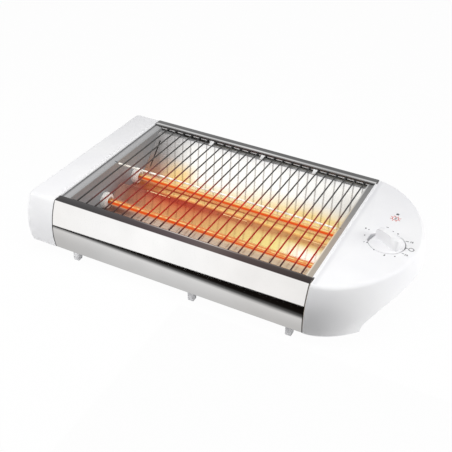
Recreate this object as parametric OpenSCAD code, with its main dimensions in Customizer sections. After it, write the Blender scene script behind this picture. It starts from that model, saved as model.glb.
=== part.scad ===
// Flat quartz-tube toaster: a wire grill over two tubes between a plain left end cap
// and a rounded control end with a timer knob. Millimetres, +Z up, the front faces -Y.
// The origin is the middle of the box around it, on the plane that the feet stand on.

/* [Body] */
// Length of the grill opening between the end caps
grill_l = 285; // [240:1:340]
// Depth over the fullest part of the front and rear walls
body_d = 232; // [210:1:260]
// Height of the walls from their bottom edge to the top
body_h = 57.5; // [54:0.5:66]
// Radius of the bulging front and rear walls
wall_r = 75; // [66:1:110]
// Height of the fullest part of the walls above their bottom edge
crown_h = 25; // [20:0.5:30]
// Thickness of the bright wall sheet
sheet = 0.8; // [0.6:0.1:1.2]
// Width of the flat flange along the top of each wall
flange_w = 11; // [9:0.5:15]
// Height of the folded lip that holds the wire ends
lip_h = 6; // [5:0.5:8]
// Width of the flange folded inwards under each wall
under_w = 10; // [9:0.5:14]

/* [End caps] */
// Width of the left end cap at its fullest point
left_cap_w = 33.5; // [32:0.5:48]
// Length of the rounded control end at its fullest point
end_l = 79.8; // [76:0.2:95]
// Wall thickness of the plastic caps
cap_wall = 2.4; // [1.8:0.1:3]
// Radius of the soft edge around the top of the caps
cap_edge_r = 3.5; // [2:0.5:5]
// Radius of the left cap's upright corners
left_corner_r = 5; // [4:0.5:12]
// Share of the wall's bulge that the left cap's end has
left_bulge = 0.1; // [0:0.05:1]
// Share of the wall's bulge that the control end's tip has
end_bulge = 0.54; // [0.2:0.02:1]
// Squareness of the control end's outline, 2 is an ellipse
end_square = 1.77; // [1.6:0.01:3]
// Half width of the finger arch under the control end
arch_half = 84.5; // [78:0.5:96]
// Height of the finger arch
arch_h = 33; // [24:0.5:36]
// Squareness of the finger arch, 2 is an ellipse
arch_square = 2.4; // [2:0.1:3]
// Distance from the joint to the back of the finger recess
recess_in = 56.3; // [56:0.1:60]
// Half width of the oval that the finger recess's back wall follows
recess_half = 130; // [120:1:160]

/* [Grill] */
// Diameter of the grill wires
wire_d = 1.7; // [1.4:0.1:3]
// Distance between neighbouring wires
wire_pitch = 10.95; // [8:0.05:16]
// Least distance from a cap to the nearest wire
wire_margin = 16; // [12:0.5:24]
// Distance that the row of wires sits right of the middle
wire_shift = 2.7; // [0:0.1:4]
// Depth of the wires' centres below the top
wire_drop = 2.4; // [2:0.1:3]
// Diameter of the rod under the middle of the wires
rod_d = 2; // [1.8:0.1:4]
// Distance of the rod behind the middle
rod_y = -3.4; // [-10:0.1:10]

/* [Heater] */
// Distance of each tube's axis from the middle
tube_y = 32.5; // [28:0.5:40]
// Height of the tubes' axes above the wall's bottom edge
tube_h = 20; // [19:0.5:26]
// Outside diameter of the quartz tubes
tube_d = 10; // [8:0.5:12]
// Wall thickness of the quartz tubes
tube_wall = 1; // [0.8:0.1:1.5]
// Number of curls in each heating coil
coil_turns = 46; // [20:1:46]
// Radius of the heating coil to the middle of its wire
coil_r = 2.7; // [2:0.1:2.8]
// Diameter of the heating coil's wire
coil_wire_d = 0.9; // [0.6:0.1:1]
// Diameter of the ceramic end pieces
ceramic_d = 19; // [15:0.5:22]
// Length of the ceramic end pieces
ceramic_l = 7; // [5:0.5:9]
// Distance of the inner plates from the caps' inner edges
plate_in = 9.5; // [8:0.5:12]
// Thickness of the inner plates
plate_t = 1; // [0.8:0.1:1.5]
// Height of the sloped band along the top of the inner plates
band_h = 3.1; // [2.5:0.1:12]
// Thickness of the reflector sheet
mirror_t = 0.6; // [0.5:0.1:1]
// Height of the reflector's trough floor above the wall's bottom edge
trough_h = 10.5; // [9.5:0.5:12]
// Height of the ridge between the troughs above the wall's bottom edge
ridge_h = 24; // [18:0.5:26]
// Half width of the flat on top of the ridge
ridge_half = 3; // [2.5:0.5:5]
// Distance from the middle to the inner side of each trough floor
trough_in = 21; // [16:0.5:24]
// Distance from the middle to the outer side of each trough floor
trough_out = 50; // [44:0.5:60]
// Gap between the reflector's upper edge and the wall's lip
mirror_gap = 7.5; // [5:0.5:10]
// Depth of the reflector's upper edge below the top
mirror_drop = 6; // [5:0.5:9]
// Length of each crumb slot in the ridge
slot_l = 30; // [20:1:40]
// Width of each crumb slot in the ridge
slot_w = 2.4; // [1.5:0.1:4]

/* [Knob and timer] */
// Distance of the knob's axis from the joint with the control end
knob_in = 42.5; // [38:0.5:43]
// Distance of the knob's axis behind the middle
knob_y = -7.8; // [-10:0.1:10]
// Radius of the round well that the knob sits in
well_r = 19.6; // [19:0.1:22]
// Depth of the well
well_deep = 9.5; // [8:0.5:11]
// Radius of the knob's disc
disc_r = 18.4; // [16:0.1:18.6]
// Depth of the knob's disc below the top
disc_drop = 0.8; // [0:0.1:4]
// Height of the knob's grip above its disc
grip_h = 12.5; // [9:0.1:16]
// Width of the knob's grip
grip_w = 7; // [5:0.5:9]
// Length of the knob's grip
grip_l = 31; // [26:0.5:32]
// Direction of the knob's pointer at rest, degrees from +X
pointer_deg = -29; // [-60:1:0]
// Radius of the timer's shaft
shaft_r = 3; // [2.5:0.25:3.5]
// Length of the timer's case
timer_l = 42; // [40:0.5:44]
// Width of the timer's case
timer_w = 37; // [30:0.5:40]
// Height of the timer's case
timer_h = 20; // [16:0.5:22]
// Wall thickness of the timer's case
timer_wall = 1.5; // [1:0.1:2]
// Radius of the timer's cam
cam_r = 8.5; // [7:0.5:8.5]
// Radius of the timer's bell
bell_r = 13; // [9:0.5:14]
// Distance of the pilot lamp from the joint with the control end
lamp_in = 38; // [30:0.5:42]
// Distance of the pilot lamp behind the middle
lamp_y = 48.5; // [44:0.5:54]
// Radius of the pilot lamp's lens
lens_r = 1.5; // [1:0.1:2.5]

/* [Base] */
// Height of the feet below the walls
foot_h = 11; // [8:0.5:16]
// Width of each foot
foot_w = 7.5; // [6:0.5:10]
// Depth of each foot
foot_d = 8; // [6:0.5:9]
// Distance of each foot's outer face from the wall's bottom edge
foot_in = 1.5; // [1:0.5:3]
// Distance of the left feet from the left cap
foot_left = 24; // [20:1:40]
// Distance of the middle feet from the left cap
foot_mid = 163; // [120:1:180]
// Distance of the right feet from the control end
foot_right = 15; // [12:1:30]
// Thickness of the base plate
base_t = 1; // [0.8:0.1:1.5]
// Radius of the screws' threads
screw_r = 1.5; // [1.2:0.1:2]
// Radius of the screws' heads
head_r = 2.8; // [2.4:0.1:3.5]
// Radius of the screw bosses in the caps
boss_r = 4; // [3.5:0.1:5]
// Thickness of the crumb tray's sheet
tray_t = 0.7; // [0.5:0.1:1]
// Height of the crumb tray's sides
tray_h = 6.4; // [5.5:0.1:6.6]
// Distance of the crumb tray's sides from the caps
tray_in = 15; // [14:0.5:25]
// Height of the crumb tray's rear face
face_h = 9; // [8:0.5:10]
// Width of the crumb tray's pull
pull_w = 42; // [25:1:80]

/* [Hidden] */
$fn = 48;

// Clearance between pieces that are fixed side by side
fit = 0.3;
// Radial clearance of a turning shaft
running = 0.05;
// Gap of the visible joint between the walls and the caps
joint_gap = 0.5;
// Clearance around the sliding tray
slide_gap = 0.4;
// Gap between the knob and the well's floor
knob_gap = 0.7;
// Wall thickness of the hollow knob
knob_wall = 2;
// Overshoot of cutting solids
cut = 1;

total_l = left_cap_w + grill_l + end_l;
x_l = left_cap_w - total_l / 2;
x_r = total_l / 2 - end_l;
z_b = foot_h;
z_t = foot_h + body_h;
half_d = body_d / 2;

// How far the bulging wall lies inside its fullest point at a height
function setback(z) = wall_r - sqrt(wall_r * wall_r - pow(z - z_b - crown_h, 2));
top_half = half_d - setback(z_t);
bottom_half = half_d - setback(z_b);
grill_half = top_half - flange_w;

wire_r = wire_d / 2;
wire_z = z_t - wire_drop;
wire_count = floor((grill_l - 2 * wire_margin) / wire_pitch) + 1;
wire_first = x_l + (grill_l - (wire_count - 1) * wire_pitch) / 2 + wire_shift;
rod_z = wire_z - wire_r - rod_d / 2 - 0.1;

plate_l = x_l + plate_in;
plate_r = x_r - plate_in;
base_z = z_b + sheet + 0.1;
base_top = base_z + base_t;
base_half = bottom_half - sheet - fit;

tube_r = tube_d / 2;
tube_z = z_b + tube_h;
// Depth of the tube's end in its ceramic piece
tube_seat = ceramic_l / 2;
tube_x0 = plate_l + plate_t + fit + ceramic_l - tube_seat;
tube_x1 = plate_r - plate_t - fit - ceramic_l + tube_seat;
collar_r = ceramic_d / 2 - 3;
collar_l = 4;
pin_r = 1.8;

knob_x = x_r + knob_in;
well_floor = z_t - well_deep;
// Height of the knob's hub, up to 1 mm below the disc's top
hub_h = well_deep + cap_wall - disc_drop - 1;
timer_top = well_floor - cap_wall - fit;
plate_top_t = 1;
case_top = timer_top - plate_top_t - 0.1;
case_bottom = case_top - timer_h;
case_x1 = knob_x + cam_r + 1 + timer_wall;
case_x0 = case_x1 - timer_l;
cam_h = 4;
timer_screw_y = 11;
cam_z = case_bottom + timer_h / 2;

lamp_x = x_r + lamp_in;
lamp_r = 2.6;
lamp_l = 10;
recess_z = z_b + arch_h + 1;

tray_x0 = x_l + tray_in;
tray_x1 = x_r - tray_in;
tray_z = base_top + slide_gap;
tray_front = -(bottom_half - sheet - under_w);
boss_left = [x_l - left_cap_w / 2, bottom_half - 38];
boss_right = [x_r + 16, bottom_half - 22];
foot_xs = [x_l + foot_left, x_l + foot_mid, x_r - foot_right];
foot_y = bottom_half - foot_in - foot_d / 2;
peg_r = 1.9;
plate_screw_y = trough_out + 12;
plate_foot_w = plate_in - 1.5;
gland_x = x_r + 22;
gland_z = z_b + crown_h;
gland_r = 5;

// Lays a drawing of depth and height along the length
module along_x(x0, x1) {
  translate([x0, 0, 0]) rotate([90, 0, 90]) linear_extrude(x1 - x0) children();
}

// Lays a drawing of length and height along the depth
module along_y(y0, y1) {
  translate([0, y1, 0]) rotate([90, 0, 0]) linear_extrude(y1 - y0) children();
}

// A closed skin through rings of equal counts of points, each seen turning left from its far end
module loft(rings) {
  n = len(rings[0]);
  m = len(rings);
  sides = [for (k = [0:m - 2], i = [0:n - 1], s = [0, 1])
    s == 0 ? [k * n + i, (k + 1) * n + i, (k + 1) * n + (i + 1) % n]
           : [k * n + i, (k + 1) * n + (i + 1) % n, k * n + (i + 1) % n]];
  first = [for (i = [1:n - 2]) [0, i, i + 1]];
  last = [for (i = [1:n - 2]) [(m - 1) * n, (m - 1) * n + i + 1, (m - 1) * n + i]];
  polyhedron([for (r = rings) each r], concat(sides, first, last), convexity = 8);
}

function sgn_pow(v, p) = sign(v) * pow(abs(v), p);

// Plan of the left cap: a straight end with rounded corners
function left_outline(long, half, r, back) = concat([[x_l + back, half]],
  [for (a = [90:15:180]) [x_l - long + r + r * cos(a), half - r + r * sin(a)]],
  [for (a = [180:15:270]) [x_l - long + r + r * cos(a), r - half + r * sin(a)]],
  [[x_l + back, -half]]);

// Plan of the rounded control end
function end_outline(long, half, back, steps = 32) = [for (i = [0:steps]) let (t = -90 + 180 * i / steps)
  [x_r + long * pow(max(0, cos(t)), 2 / end_square) - (i == 0 || i == steps ? back : 0),
   half * sgn_pow(sin(t), 2 / end_square)]];

// Outline of an end cap at a height: side is -1 or 1, inset moves it inwards,
// back carries its straight side past the joint
function cap_outline(side, z, inset, back) =
  let (half = half_d - setback(z) - inset)
  side < 0 ? left_outline(left_cap_w - left_bulge * setback(z) - inset, half, max(0.5, left_corner_r - inset), back)
           : end_outline(end_l - end_bulge * setback(z) - inset, half, back);

// Height steps of a cap: up the wall, then around its top edge
function cap_levels(top, low, edge) =
  let (crown = z_b + crown_h)
  concat([for (i = [0:2]) low + (crown - low) * i / 3],
         [for (i = [0:4]) crown + (top - edge - crown) * i / 4],
         [for (a = [22.5, 45, 67.5, 90]) top - edge + edge * sin(a)]);

function edge_inset(z, top, edge) =
  z <= top - edge ? 0 : edge - sqrt(max(0, edge * edge - pow(z - top + edge, 2)));

module cap_solid(side, inset, back, low) {
  top = z_t - inset;
  edge = max(1, cap_edge_r - inset);
  loft([for (z = cap_levels(top, low, edge))
    [for (p = cap_outline(side, z, inset + edge_inset(z, top, edge), back)) [p[0], p[1], z]]]);
}

module cap_shell(side) {
  difference() {
    cap_solid(side, 0, 0, z_b);
    cap_solid(side, cap_wall, cut, z_b - cut);
  }
}

// Hollow post under a cap's top for a screw from below
module boss(p) {
  translate([p[0], p[1], base_top + fit]) difference() {
    cylinder(r = boss_r, h = z_t - cap_wall - base_top - fit + 0.2);
    translate([0, 0, -cut]) cylinder(r = screw_r - 0.2, h = 14 + cut);
  }
}

module left_end_cap() {
  color("white") union() {
    cap_shell(-1);
    for (s = [-1, 1]) boss([boss_left[0], s * boss_left[1]]);
  }
}

module control_end_cap() {
  color("white") difference() {
    union() {
      cap_shell(1);
      for (s = [-1, 1]) boss([boss_right[0], s * boss_right[1]]);
      translate([knob_x, knob_y, well_floor - cap_wall])
        cylinder(r = well_r + cap_wall, h = well_deep + cap_wall - cap_wall / 2);
      translate([lamp_x, lamp_y, z_t - cap_wall - lamp_l])
        cylinder(r = lamp_r + fit + 1.2, h = lamp_l + 0.2);
    }
    translate([knob_x, knob_y, well_floor]) cylinder(r = well_r, h = well_deep + cut);
    translate([knob_x, knob_y, well_floor - cap_wall - cut]) cylinder(r = shaft_r + 3, h = well_deep);
    for (s = [-1, 1]) translate([knob_x, knob_y + s * timer_screw_y, well_floor - cap_wall - cut])
      cylinder(r = screw_r + 0.2, h = well_deep);
    translate([lamp_x, lamp_y, z_t - cap_wall - lamp_l - cut]) cylinder(r = lamp_r + 0.1, h = lamp_l + cut);
    translate([lamp_x, lamp_y, z_t - cap_wall - cut]) cylinder(r = lens_r + 0.1, h = cap_wall + 2 * cut);
    translate([gland_x, half_d - 30, gland_z]) rotate([-90, 0, 0]) cylinder(r = gland_r + 0.1, h = 40);
    along_x(x_r + recess_in / 2, x_r + end_l + cut) finger_arch();
  }
}

// Round opening under the control end's wall
module finger_arch() {
  p = 2 / arch_square;
  polygon([for (a = [0:7.5:180])
    [arch_half * sgn_pow(cos(a), p), z_b + arch_h * sgn_pow(sin(a), p) - (a % 180 == 0 ? cut : 0)]]);
}

// Section of the front wall with its top flange, lip and under flange
module wall_section() {
  intersection() {
    translate([wall_r - half_d, z_b + crown_h]) difference() {
      circle(wall_r, $fn = 96);
      circle(wall_r - sheet, $fn = 96);
    }
    translate([-half_d - cut, z_b]) square([wall_r / 2, body_h]);
  }
  translate([-top_half, z_t - sheet]) square([flange_w, sheet]);
  translate([-grill_half - sheet, z_t - lip_h]) square([sheet, lip_h]);
  translate([-bottom_half, z_b]) square([under_w, sheet]);
}

module wall_panel() {
  difference() {
    along_x(x_l + joint_gap, x_r - joint_gap) wall_section();
    for (i = [0:wire_count - 1]) translate([wire_first + i * wire_pitch, -grill_half - 3, wire_z])
      rotate([-90, 0, 0]) cylinder(r = wire_r + running, h = 6, $fn = 24);
    for (x = foot_xs) translate([x, -foot_y, z_b - cut]) cylinder(r = peg_r + 0.1, h = 4);
  }
}

module front_panel() {
  color("gainsboro") wall_panel();
}

module rear_panel() {
  color("gainsboro") difference() {
    mirror([0, 1, 0]) wall_panel();
    translate([tray_x0 - slide_gap, bottom_half - 4, base_top])
      cube([tray_x1 - tray_x0 + 2 * slide_gap, 20, face_h]);
  }
}

module base_plate() {
  color("silver") translate([0, 0, base_z]) difference() {
    linear_extrude(base_t) union() {
      translate([x_l + joint_gap, -base_half]) square([grill_l - 2 * joint_gap, 2 * base_half]);
      polygon(cap_outline(-1, z_b, cap_wall + 1, 2));
      intersection() {
        polygon(cap_outline(1, z_b, cap_wall + 1, 2));
        polygon(end_outline(recess_in + 2, recess_half, 3));
      }
    }
    for (x = foot_xs, s = [-1, 1]) translate([x, s * foot_y, -cut]) cylinder(r = peg_r + 0.1, h = 4);
    for (p = [boss_left, boss_right], s = [-1, 1]) translate([p[0], s * p[1], -cut])
      cylinder(r = screw_r + 0.2, h = 4);
    for (x = [plate_l - plate_foot_w / 2, plate_r + plate_foot_w / 2], s = [-1, 1])
      translate([x, s * plate_screw_y, -cut]) cylinder(r = screw_r + 0.2, h = 4);
    for (i = [-2:2]) translate([x_r + 20, i * 9 - 2, -cut]) cube([24, 4, 4]);
  }
}

// Roof and back wall of the finger recess, under the timer's end of the cap
module recess_cover() {
  color("white") translate([0, 0, base_top + fit]) {
    linear_extrude(recess_z - base_top) difference() {
      intersection() {
        polygon(cap_outline(1, z_b, cap_wall + fit, 0));
        polygon(end_outline(recess_in + 2, recess_half, 0));
      }
      polygon(end_outline(recess_in, recess_half, cut));
      translate([x_r - cut, -half_d]) square([recess_in / 2, body_d]);
    }
    translate([0, 0, recess_z - base_top]) linear_extrude(2) difference() {
      polygon(cap_outline(1, z_b, cap_wall + fit, 0));
      polygon(end_outline(recess_in, recess_half, cut));
      translate([x_r - cut, -half_d]) square([recess_in / 2, body_d]);
    }
  }
}

// Bent sheet of the left inner plate: foot, upright and sloped band beside the cap
module plate_bend() {
  band_top = z_t - sheet - wire_drop / 2;
  polygon([[plate_l, z_t - band_h], [x_l + 1, band_top], [x_l + 1, band_top - 1.4 * plate_t],
    [plate_l - plate_t, z_t - band_h - plate_t], [plate_l - plate_t, base_top + fit + plate_t],
    [plate_l - plate_foot_w, base_top + fit + plate_t], [plate_l - plate_foot_w, base_top + fit],
    [plate_l, base_top + fit]]);
}

module inner_plate() {
  difference() {
    intersection() {
      along_y(-half_d, half_d) plate_bend();
      union() {
        along_x(x_l, plate_l + cut) plate_room();
        along_x(x_l, plate_l + cut) translate([-grill_half + fit, z_t - lip_h - 2])
          square([2 * (grill_half - fit), lip_h + 2]);
      }
    }
    for (s = [-1, 1]) translate([plate_l - plate_t - cut, s * tube_y, tube_z]) rotate([0, 90, 0])
      cylinder(r = collar_r + 0.1, h = plate_t + 2 * cut);
    // The rod lies in a notch that is open at the top
    translate([plate_l - plate_t - 2.2, rod_y, rod_z]) {
      rotate([0, 90, 0]) cylinder(r = rod_d / 2 + running, h = plate_t + 2.2 + cut);
      translate([0, -rod_d / 2 - running, 0]) cube([plate_t + 2.2 + cut, rod_d + 2 * running, z_t - rod_z]);
    }
    for (s = [-1, 1]) translate([plate_l - plate_foot_w / 2, s * plate_screw_y, base_top])
      cylinder(r = screw_r - 0.1, h = 3);
  }
}

// Room for the inner plate between the two bulging walls, under the lips
module plate_room() {
  low = base_top + fit;
  high = z_t - lip_h - fit;
  steps = 12;
  half = [for (i = [0:steps]) let (z = low + (high - low) * i / steps)
    [half_d - setback(z) - sheet - fit, z]];
  polygon(concat(half, [for (i = [steps:-1:0]) [-half[i][0], half[i][1]]]));
}

module left_inner_plate() {
  color("darkgray") inner_plate();
}

module right_inner_plate() {
  color("darkgray") translate([x_l + x_r, 0, 0]) mirror([1, 0, 0]) inner_plate();
}

// Outline of the reflector's upper face from the front edge to the rear edge
mirror_half = [[ridge_half, z_b + ridge_h], [trough_in, z_b + trough_h], [trough_out, z_b + trough_h],
  [grill_half - mirror_gap, z_t - mirror_drop]];
mirror_line = concat([for (i = [3:-1:0]) [-mirror_half[i][0], mirror_half[i][1]]], mirror_half);

module reflector() {
  color("gold") difference() {
    along_x(plate_l + fit, plate_r - fit)
      polygon(concat(mirror_line, [for (i = [7:-1:0]) [mirror_line[i][0], mirror_line[i][1] - 1.3 * mirror_t]]));
    for (x = [x_l + grill_l * 0.214, x_l + grill_l * 0.552, x_r - grill_l * 0.117])
      translate([x - slot_l / 2, -slot_w / 2, z_b + ridge_h - 4]) cube([slot_l, slot_w, 8]);
  }
}

module grill_wires() {
  color("dimgray") for (i = [0:wire_count - 1])
    translate([wire_first + i * wire_pitch, -grill_half - sheet - 2, wire_z]) rotate([-90, 0, 0])
      cylinder(r = wire_r, h = 2 * (grill_half + sheet + 2), $fn = 24);
}

module grill_rod() {
  color("silver") translate([plate_l - plate_t - 2, rod_y, rod_z]) rotate([0, 90, 0])
    cylinder(r = rod_d / 2, h = plate_r - plate_l + 2 * plate_t + 4, $fn = 24);
}

module quartz_tube(s) {
  color("orange") translate([tube_x0, s * tube_y, tube_z]) rotate([0, 90, 0]) difference() {
    cylinder(r = tube_r, h = tube_x1 - tube_x0);
    translate([0, 0, -cut]) cylinder(r = tube_r - tube_wall, h = tube_x1 - tube_x0 + 2 * cut);
  }
}

// Heating coil: one helix along the tube
coil_x0 = tube_x0 + tube_seat + 2;
coil_pitch = (tube_x1 - tube_seat - 2 - coil_x0) / coil_turns;
coil_rings = 8;
function coil_point(k) = let (a = 360 * k / coil_rings)
  [coil_x0 + coil_pitch * k / coil_rings, coil_r * cos(a), coil_r * sin(a)];
function coil_ring(k) =
  let (a = 360 * k / coil_rings,
       out = [0, cos(a), sin(a)],
       run = [coil_pitch / 360 * 180 / PI, -coil_r * sin(a), coil_r * cos(a)],
       along = run / norm(run),
       side = cross(along, out))
  [for (j = [0:5]) coil_point(k) + coil_wire_d / 2 * (cos(60 * j) * out + sin(60 * j) * side)];
coil_gap = min([for (k = [4:coil_rings * 2], j = [4:coil_rings * 2])
  norm(coil_point(k + j) - coil_point(k))]) - coil_wire_d;
echo(str("Heating coil, least gap between its curls in mm: ", coil_gap));

module heating_coil(s) {
  color("red") translate([0, s * tube_y, tube_z])
    loft([for (k = [0:coil_turns * coil_rings]) coil_ring(k)]);
}

// Ceramic end piece of a tube at the left end, with its collar through the inner plate
module ceramic(s) {
  color("ivory") translate([plate_l + fit, s * tube_y, tube_z]) rotate([0, 90, 0]) difference() {
    union() {
      cylinder(r = ceramic_d / 2, h = ceramic_l + plate_t);
      translate([0, 0, -collar_l - plate_t - fit]) cylinder(r = collar_r, h = collar_l + plate_t + fit + cut);
    }
    translate([0, 0, ceramic_l + plate_t - tube_seat]) cylinder(r = tube_r + 0.1, h = tube_seat + cut);
    translate([0, 0, -collar_l - plate_t - cut]) cylinder(r = pin_r + 0.1, h = collar_l + ceramic_l + 3 * cut);
  }
}

// Metal end pin of a tube at the left end, with its flat tab
module terminal(s) {
  tab_l = 8;
  tab_w = 6.3;
  pin_x0 = plate_l - plate_t - collar_l - 3;
  color("silver") translate([0, s * tube_y, tube_z]) union() {
    translate([pin_x0, 0, 0]) rotate([0, 90, 0]) cylinder(r = pin_r, h = tube_x0 + tube_seat + 1 - pin_x0);
    translate([pin_x0 - tab_l, -0.4, -tab_w / 2]) cube([tab_l + 0.5, 0.8, tab_w]);
  }
}

module at_right() {
  translate([x_l + x_r, 0, 0]) mirror([1, 0, 0]) children();
}

module run(points, r) {
  for (i = [0:len(points) - 2]) {
    d = points[i + 1] - points[i];
    translate(points[i]) rotate([0, acos(d[2] / norm(d)), atan2(d[1], d[0])]) cylinder(r = r, h = norm(d), $fn = 16);
    if (i > 0) translate(points[i]) sphere(r = 1.04 * r, $fn = 16);
  }
}

lead_r = 1.2;
tab_x = plate_l - plate_t - collar_l - 7;
tab_xr = x_l + x_r - tab_x;

module tube_link() {
  color("white") run([[tab_x, -tube_y + 2, tube_z], [tab_x - 6, -tube_y + 10, tube_z],
    [tab_x - 6, tube_y - 10, tube_z], [tab_x, tube_y - 2, tube_z]], lead_r);
}

module foot(x, s) {
  color("whitesmoke") union() {
    translate([x - foot_w / 2, s * foot_y - foot_d / 2, 0]) cube([foot_w, foot_d, z_b]);
    translate([x, s * foot_y, z_b - 0.5]) cylinder(r = peg_r, h = base_top - z_b + 0.5);
  }
}

// Hollow knob: a disc just below the cap's top, a skirt, a hub for the shaft and a bar to turn it by
module knob() {
  disc_z = z_t - disc_drop;
  disc_t = well_deep - disc_drop - knob_gap;
  color("white") translate([knob_x, knob_y, 0]) rotate([0, 0, pointer_deg]) difference() {
    union() {
      translate([0, 0, disc_z - disc_t]) difference() {
        cylinder(r = disc_r, h = disc_t, $fn = 96);
        translate([0, 0, -cut]) cylinder(r = disc_r - knob_wall, h = disc_t - knob_wall + cut, $fn = 96);
      }
      translate([0, 0, well_floor - cap_wall]) cylinder(r = shaft_r + 2.4, h = hub_h);
      translate([0, 0, disc_z - 1]) linear_extrude(grip_h + 1) polygon(concat(
        [for (a = [-90:10:90]) [grip_l * (0.2 + 0.33 * cos(a)), grip_w / 2 * sin(a)]],
        [for (a = [90:15:270]) [grip_l * (0.05 * cos(a) - 0.42), grip_w / 2 * sin(a)]]));
    }
    translate([0, 0, well_floor - cap_wall - cut]) difference() {
      cylinder(r = shaft_r + 0.02, h = hub_h);
      translate([shaft_r * 0.6, -shaft_r, cut]) cube([shaft_r, 2 * shaft_r, well_deep + 2]);
    }
  }
}

module timer_shaft() {
  top = well_floor - cap_wall - cut + hub_h - 0.3;
  color("silver") translate([knob_x, knob_y, 0]) rotate([0, 0, pointer_deg]) difference() {
    translate([0, 0, case_bottom + timer_wall + fit]) cylinder(r = shaft_r, h = top - case_bottom - timer_wall - fit);
    translate([shaft_r * 0.6 - 0.02, -shaft_r, well_floor - cap_wall - 0.1]) cube([shaft_r, 2 * shaft_r, 20]);
  }
}

module timer_cam() {
  color("khaki") translate([knob_x, knob_y, cam_z]) rotate([0, 0, pointer_deg]) difference() {
    cylinder(r = cam_r, h = cam_h);
    translate([0, 0, -cut]) cylinder(r = shaft_r + 0.02, h = cam_h + 2 * cut);
    translate([cam_r - 2, -2, -cut]) cube([4, 4, cam_h + 2 * cut]);
  }
}

module timer_case() {
  color("khaki") difference() {
    translate([case_x0, knob_y - timer_w / 2, case_bottom]) cube([timer_l, timer_w, timer_h]);
    translate([case_x0 + timer_wall, knob_y - timer_w / 2 + timer_wall, case_bottom + timer_wall])
      cube([timer_l - 2 * timer_wall, timer_w - 2 * timer_wall, timer_h]);
  }
}

// Mounting plate over the timer's case, with the shaft's bearing hole
module timer_plate() {
  color("silver") difference() {
    translate([case_x0, knob_y - timer_w / 2, case_top + 0.1]) cube([timer_l, timer_w, plate_top_t]);
    translate([knob_x, knob_y, case_top - cut]) cylinder(r = shaft_r + running, h = plate_top_t + 3 * cut);
    for (s = [-1, 1]) translate([knob_x, knob_y + s * timer_screw_y, case_top - cut])
      cylinder(r = screw_r - 0.2, h = plate_top_t + 3 * cut);
  }
}

// Two spring blades beside the cam, each on a block against the case's wall
module timer_contacts() {
  inner = timer_w / 2 - timer_wall;
  color("goldenrod") for (s = [-1, 1]) translate([case_x0 + timer_wall + 0.1, knob_y, case_bottom + timer_wall + 0.1]) {
    translate([0, s * (inner - 3.1) - 3, 0]) cube([6, 6, timer_h / 2]);
    translate([2, s * (cam_r + 1) - 0.3, timer_h / 2 - 2]) cube([knob_x - case_x0 - timer_wall, 0.6, cam_h]);
  }
}

// Cup-shaped bell on a post under the timer's case
module timer_bell() {
  post = 3;
  cup_h = 6;
  color("silver") translate([case_x0 + timer_l / 2, knob_y, case_bottom - 0.1]) rotate([180, 0, 0]) union() {
    cylinder(r = 2, h = post + cup_h - 0.5);
    translate([0, 0, post]) difference() {
      cylinder(r = bell_r, h = cup_h);
      translate([0, 0, -cut]) cylinder(r = bell_r - 1, h = cup_h);
    }
  }
}

module screw(l) {
  translate([0, 0, -1.6]) cylinder(r = head_r, h = 1.6);
  translate([0, 0, -0.5]) cylinder(r = screw_r - 0.25, h = l + 0.5);
}

// Flat-headed screws that stay under the knob's disc
module timer_screws() {
  head_t = 0.4;
  color("silver") for (s = [-1, 1]) translate([knob_x, knob_y + s * timer_screw_y, well_floor]) {
    translate([0, 0, 0.02]) cylinder(r = head_r, h = head_t - 0.1);
    translate([0, 0, -cap_wall - plate_top_t - 2]) cylinder(r = screw_r - 0.25, h = cap_wall + plate_top_t + 2.1);
  }
}

module pilot_lens() {
  color("dimgray") translate([lamp_x, lamp_y, z_t - cap_wall + 0.05]) union() {
    cylinder(r = lens_r, h = cap_wall + 0.1);
    translate([0, 0, cap_wall]) intersection() {
      translate([0, 0, 0.4 - 2 * lens_r]) sphere(r = 2 * lens_r);
      cylinder(r = lens_r, h = 1);
    }
  }
}

module pilot_lamp() {
  color("salmon") translate([lamp_x, lamp_y, z_t - cap_wall - lamp_l - 3]) union() {
    cylinder(r = lamp_r, h = lamp_l + 2.6);
    for (s = [-1, 1]) translate([s * 1.2, 0, -4]) cylinder(r = 0.4, h = 5, $fn = 16);
  }
}

block = [28, 14, 14];
block_at = [x_r + 10, 54, base_top + 0.1];

module terminal_block() {
  color("white") translate(block_at) difference() {
    cube(block);
    for (i = [0:2]) translate([5 + i * 9, block[1] / 2, block[2] / 2]) cylinder(r = 2, h = block[2]);
    for (i = [0:2]) translate([5 + i * 9, -cut, block[2] / 3]) rotate([-90, 0, 0]) cylinder(r = 1.6, h = block[1] + 2 * cut);
  }
}

// Bush in the rear wall for the supply cable, which is left out
module cord_gland() {
  wall_y = half_d * pow(1 - pow((gland_x - x_r) / end_l, end_square), 1 / end_square);
  color("white") translate([gland_x, wall_y - 12, gland_z]) rotate([-90, 0, 0]) difference() {
    union() {
      cylinder(r = gland_r, h = 15);
      cylinder(r = gland_r + 2, h = 2.5);
    }
    translate([0, 0, -cut]) cylinder(r = 3.2, h = 20);
  }
}

module lead_live() {
  color("saddlebrown") run([[block_at[0] + 23, block_at[1] - 2, block_at[2] + block[2] / 3],
    [block_at[0] + 23, 40, base_top + 6], [case_x0 + 12, knob_y + timer_w / 2 + 6, case_bottom - 4],
    [case_x0 + 10, knob_y + timer_w / 2 + lead_r + fit, case_bottom + 6]], lead_r);
}

module lead_heater() {
  color("saddlebrown") run([[case_x0 + 10, knob_y - timer_w / 2 - lead_r - fit, case_bottom + 6],
    [case_x0 + 6, -tube_y - 4, case_bottom - 2], [tab_xr + 4, -tube_y - 6, tube_z + 2],
    [tab_xr, -tube_y - 0.4 - lead_r - 0.2, tube_z]], lead_r);
}

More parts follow.
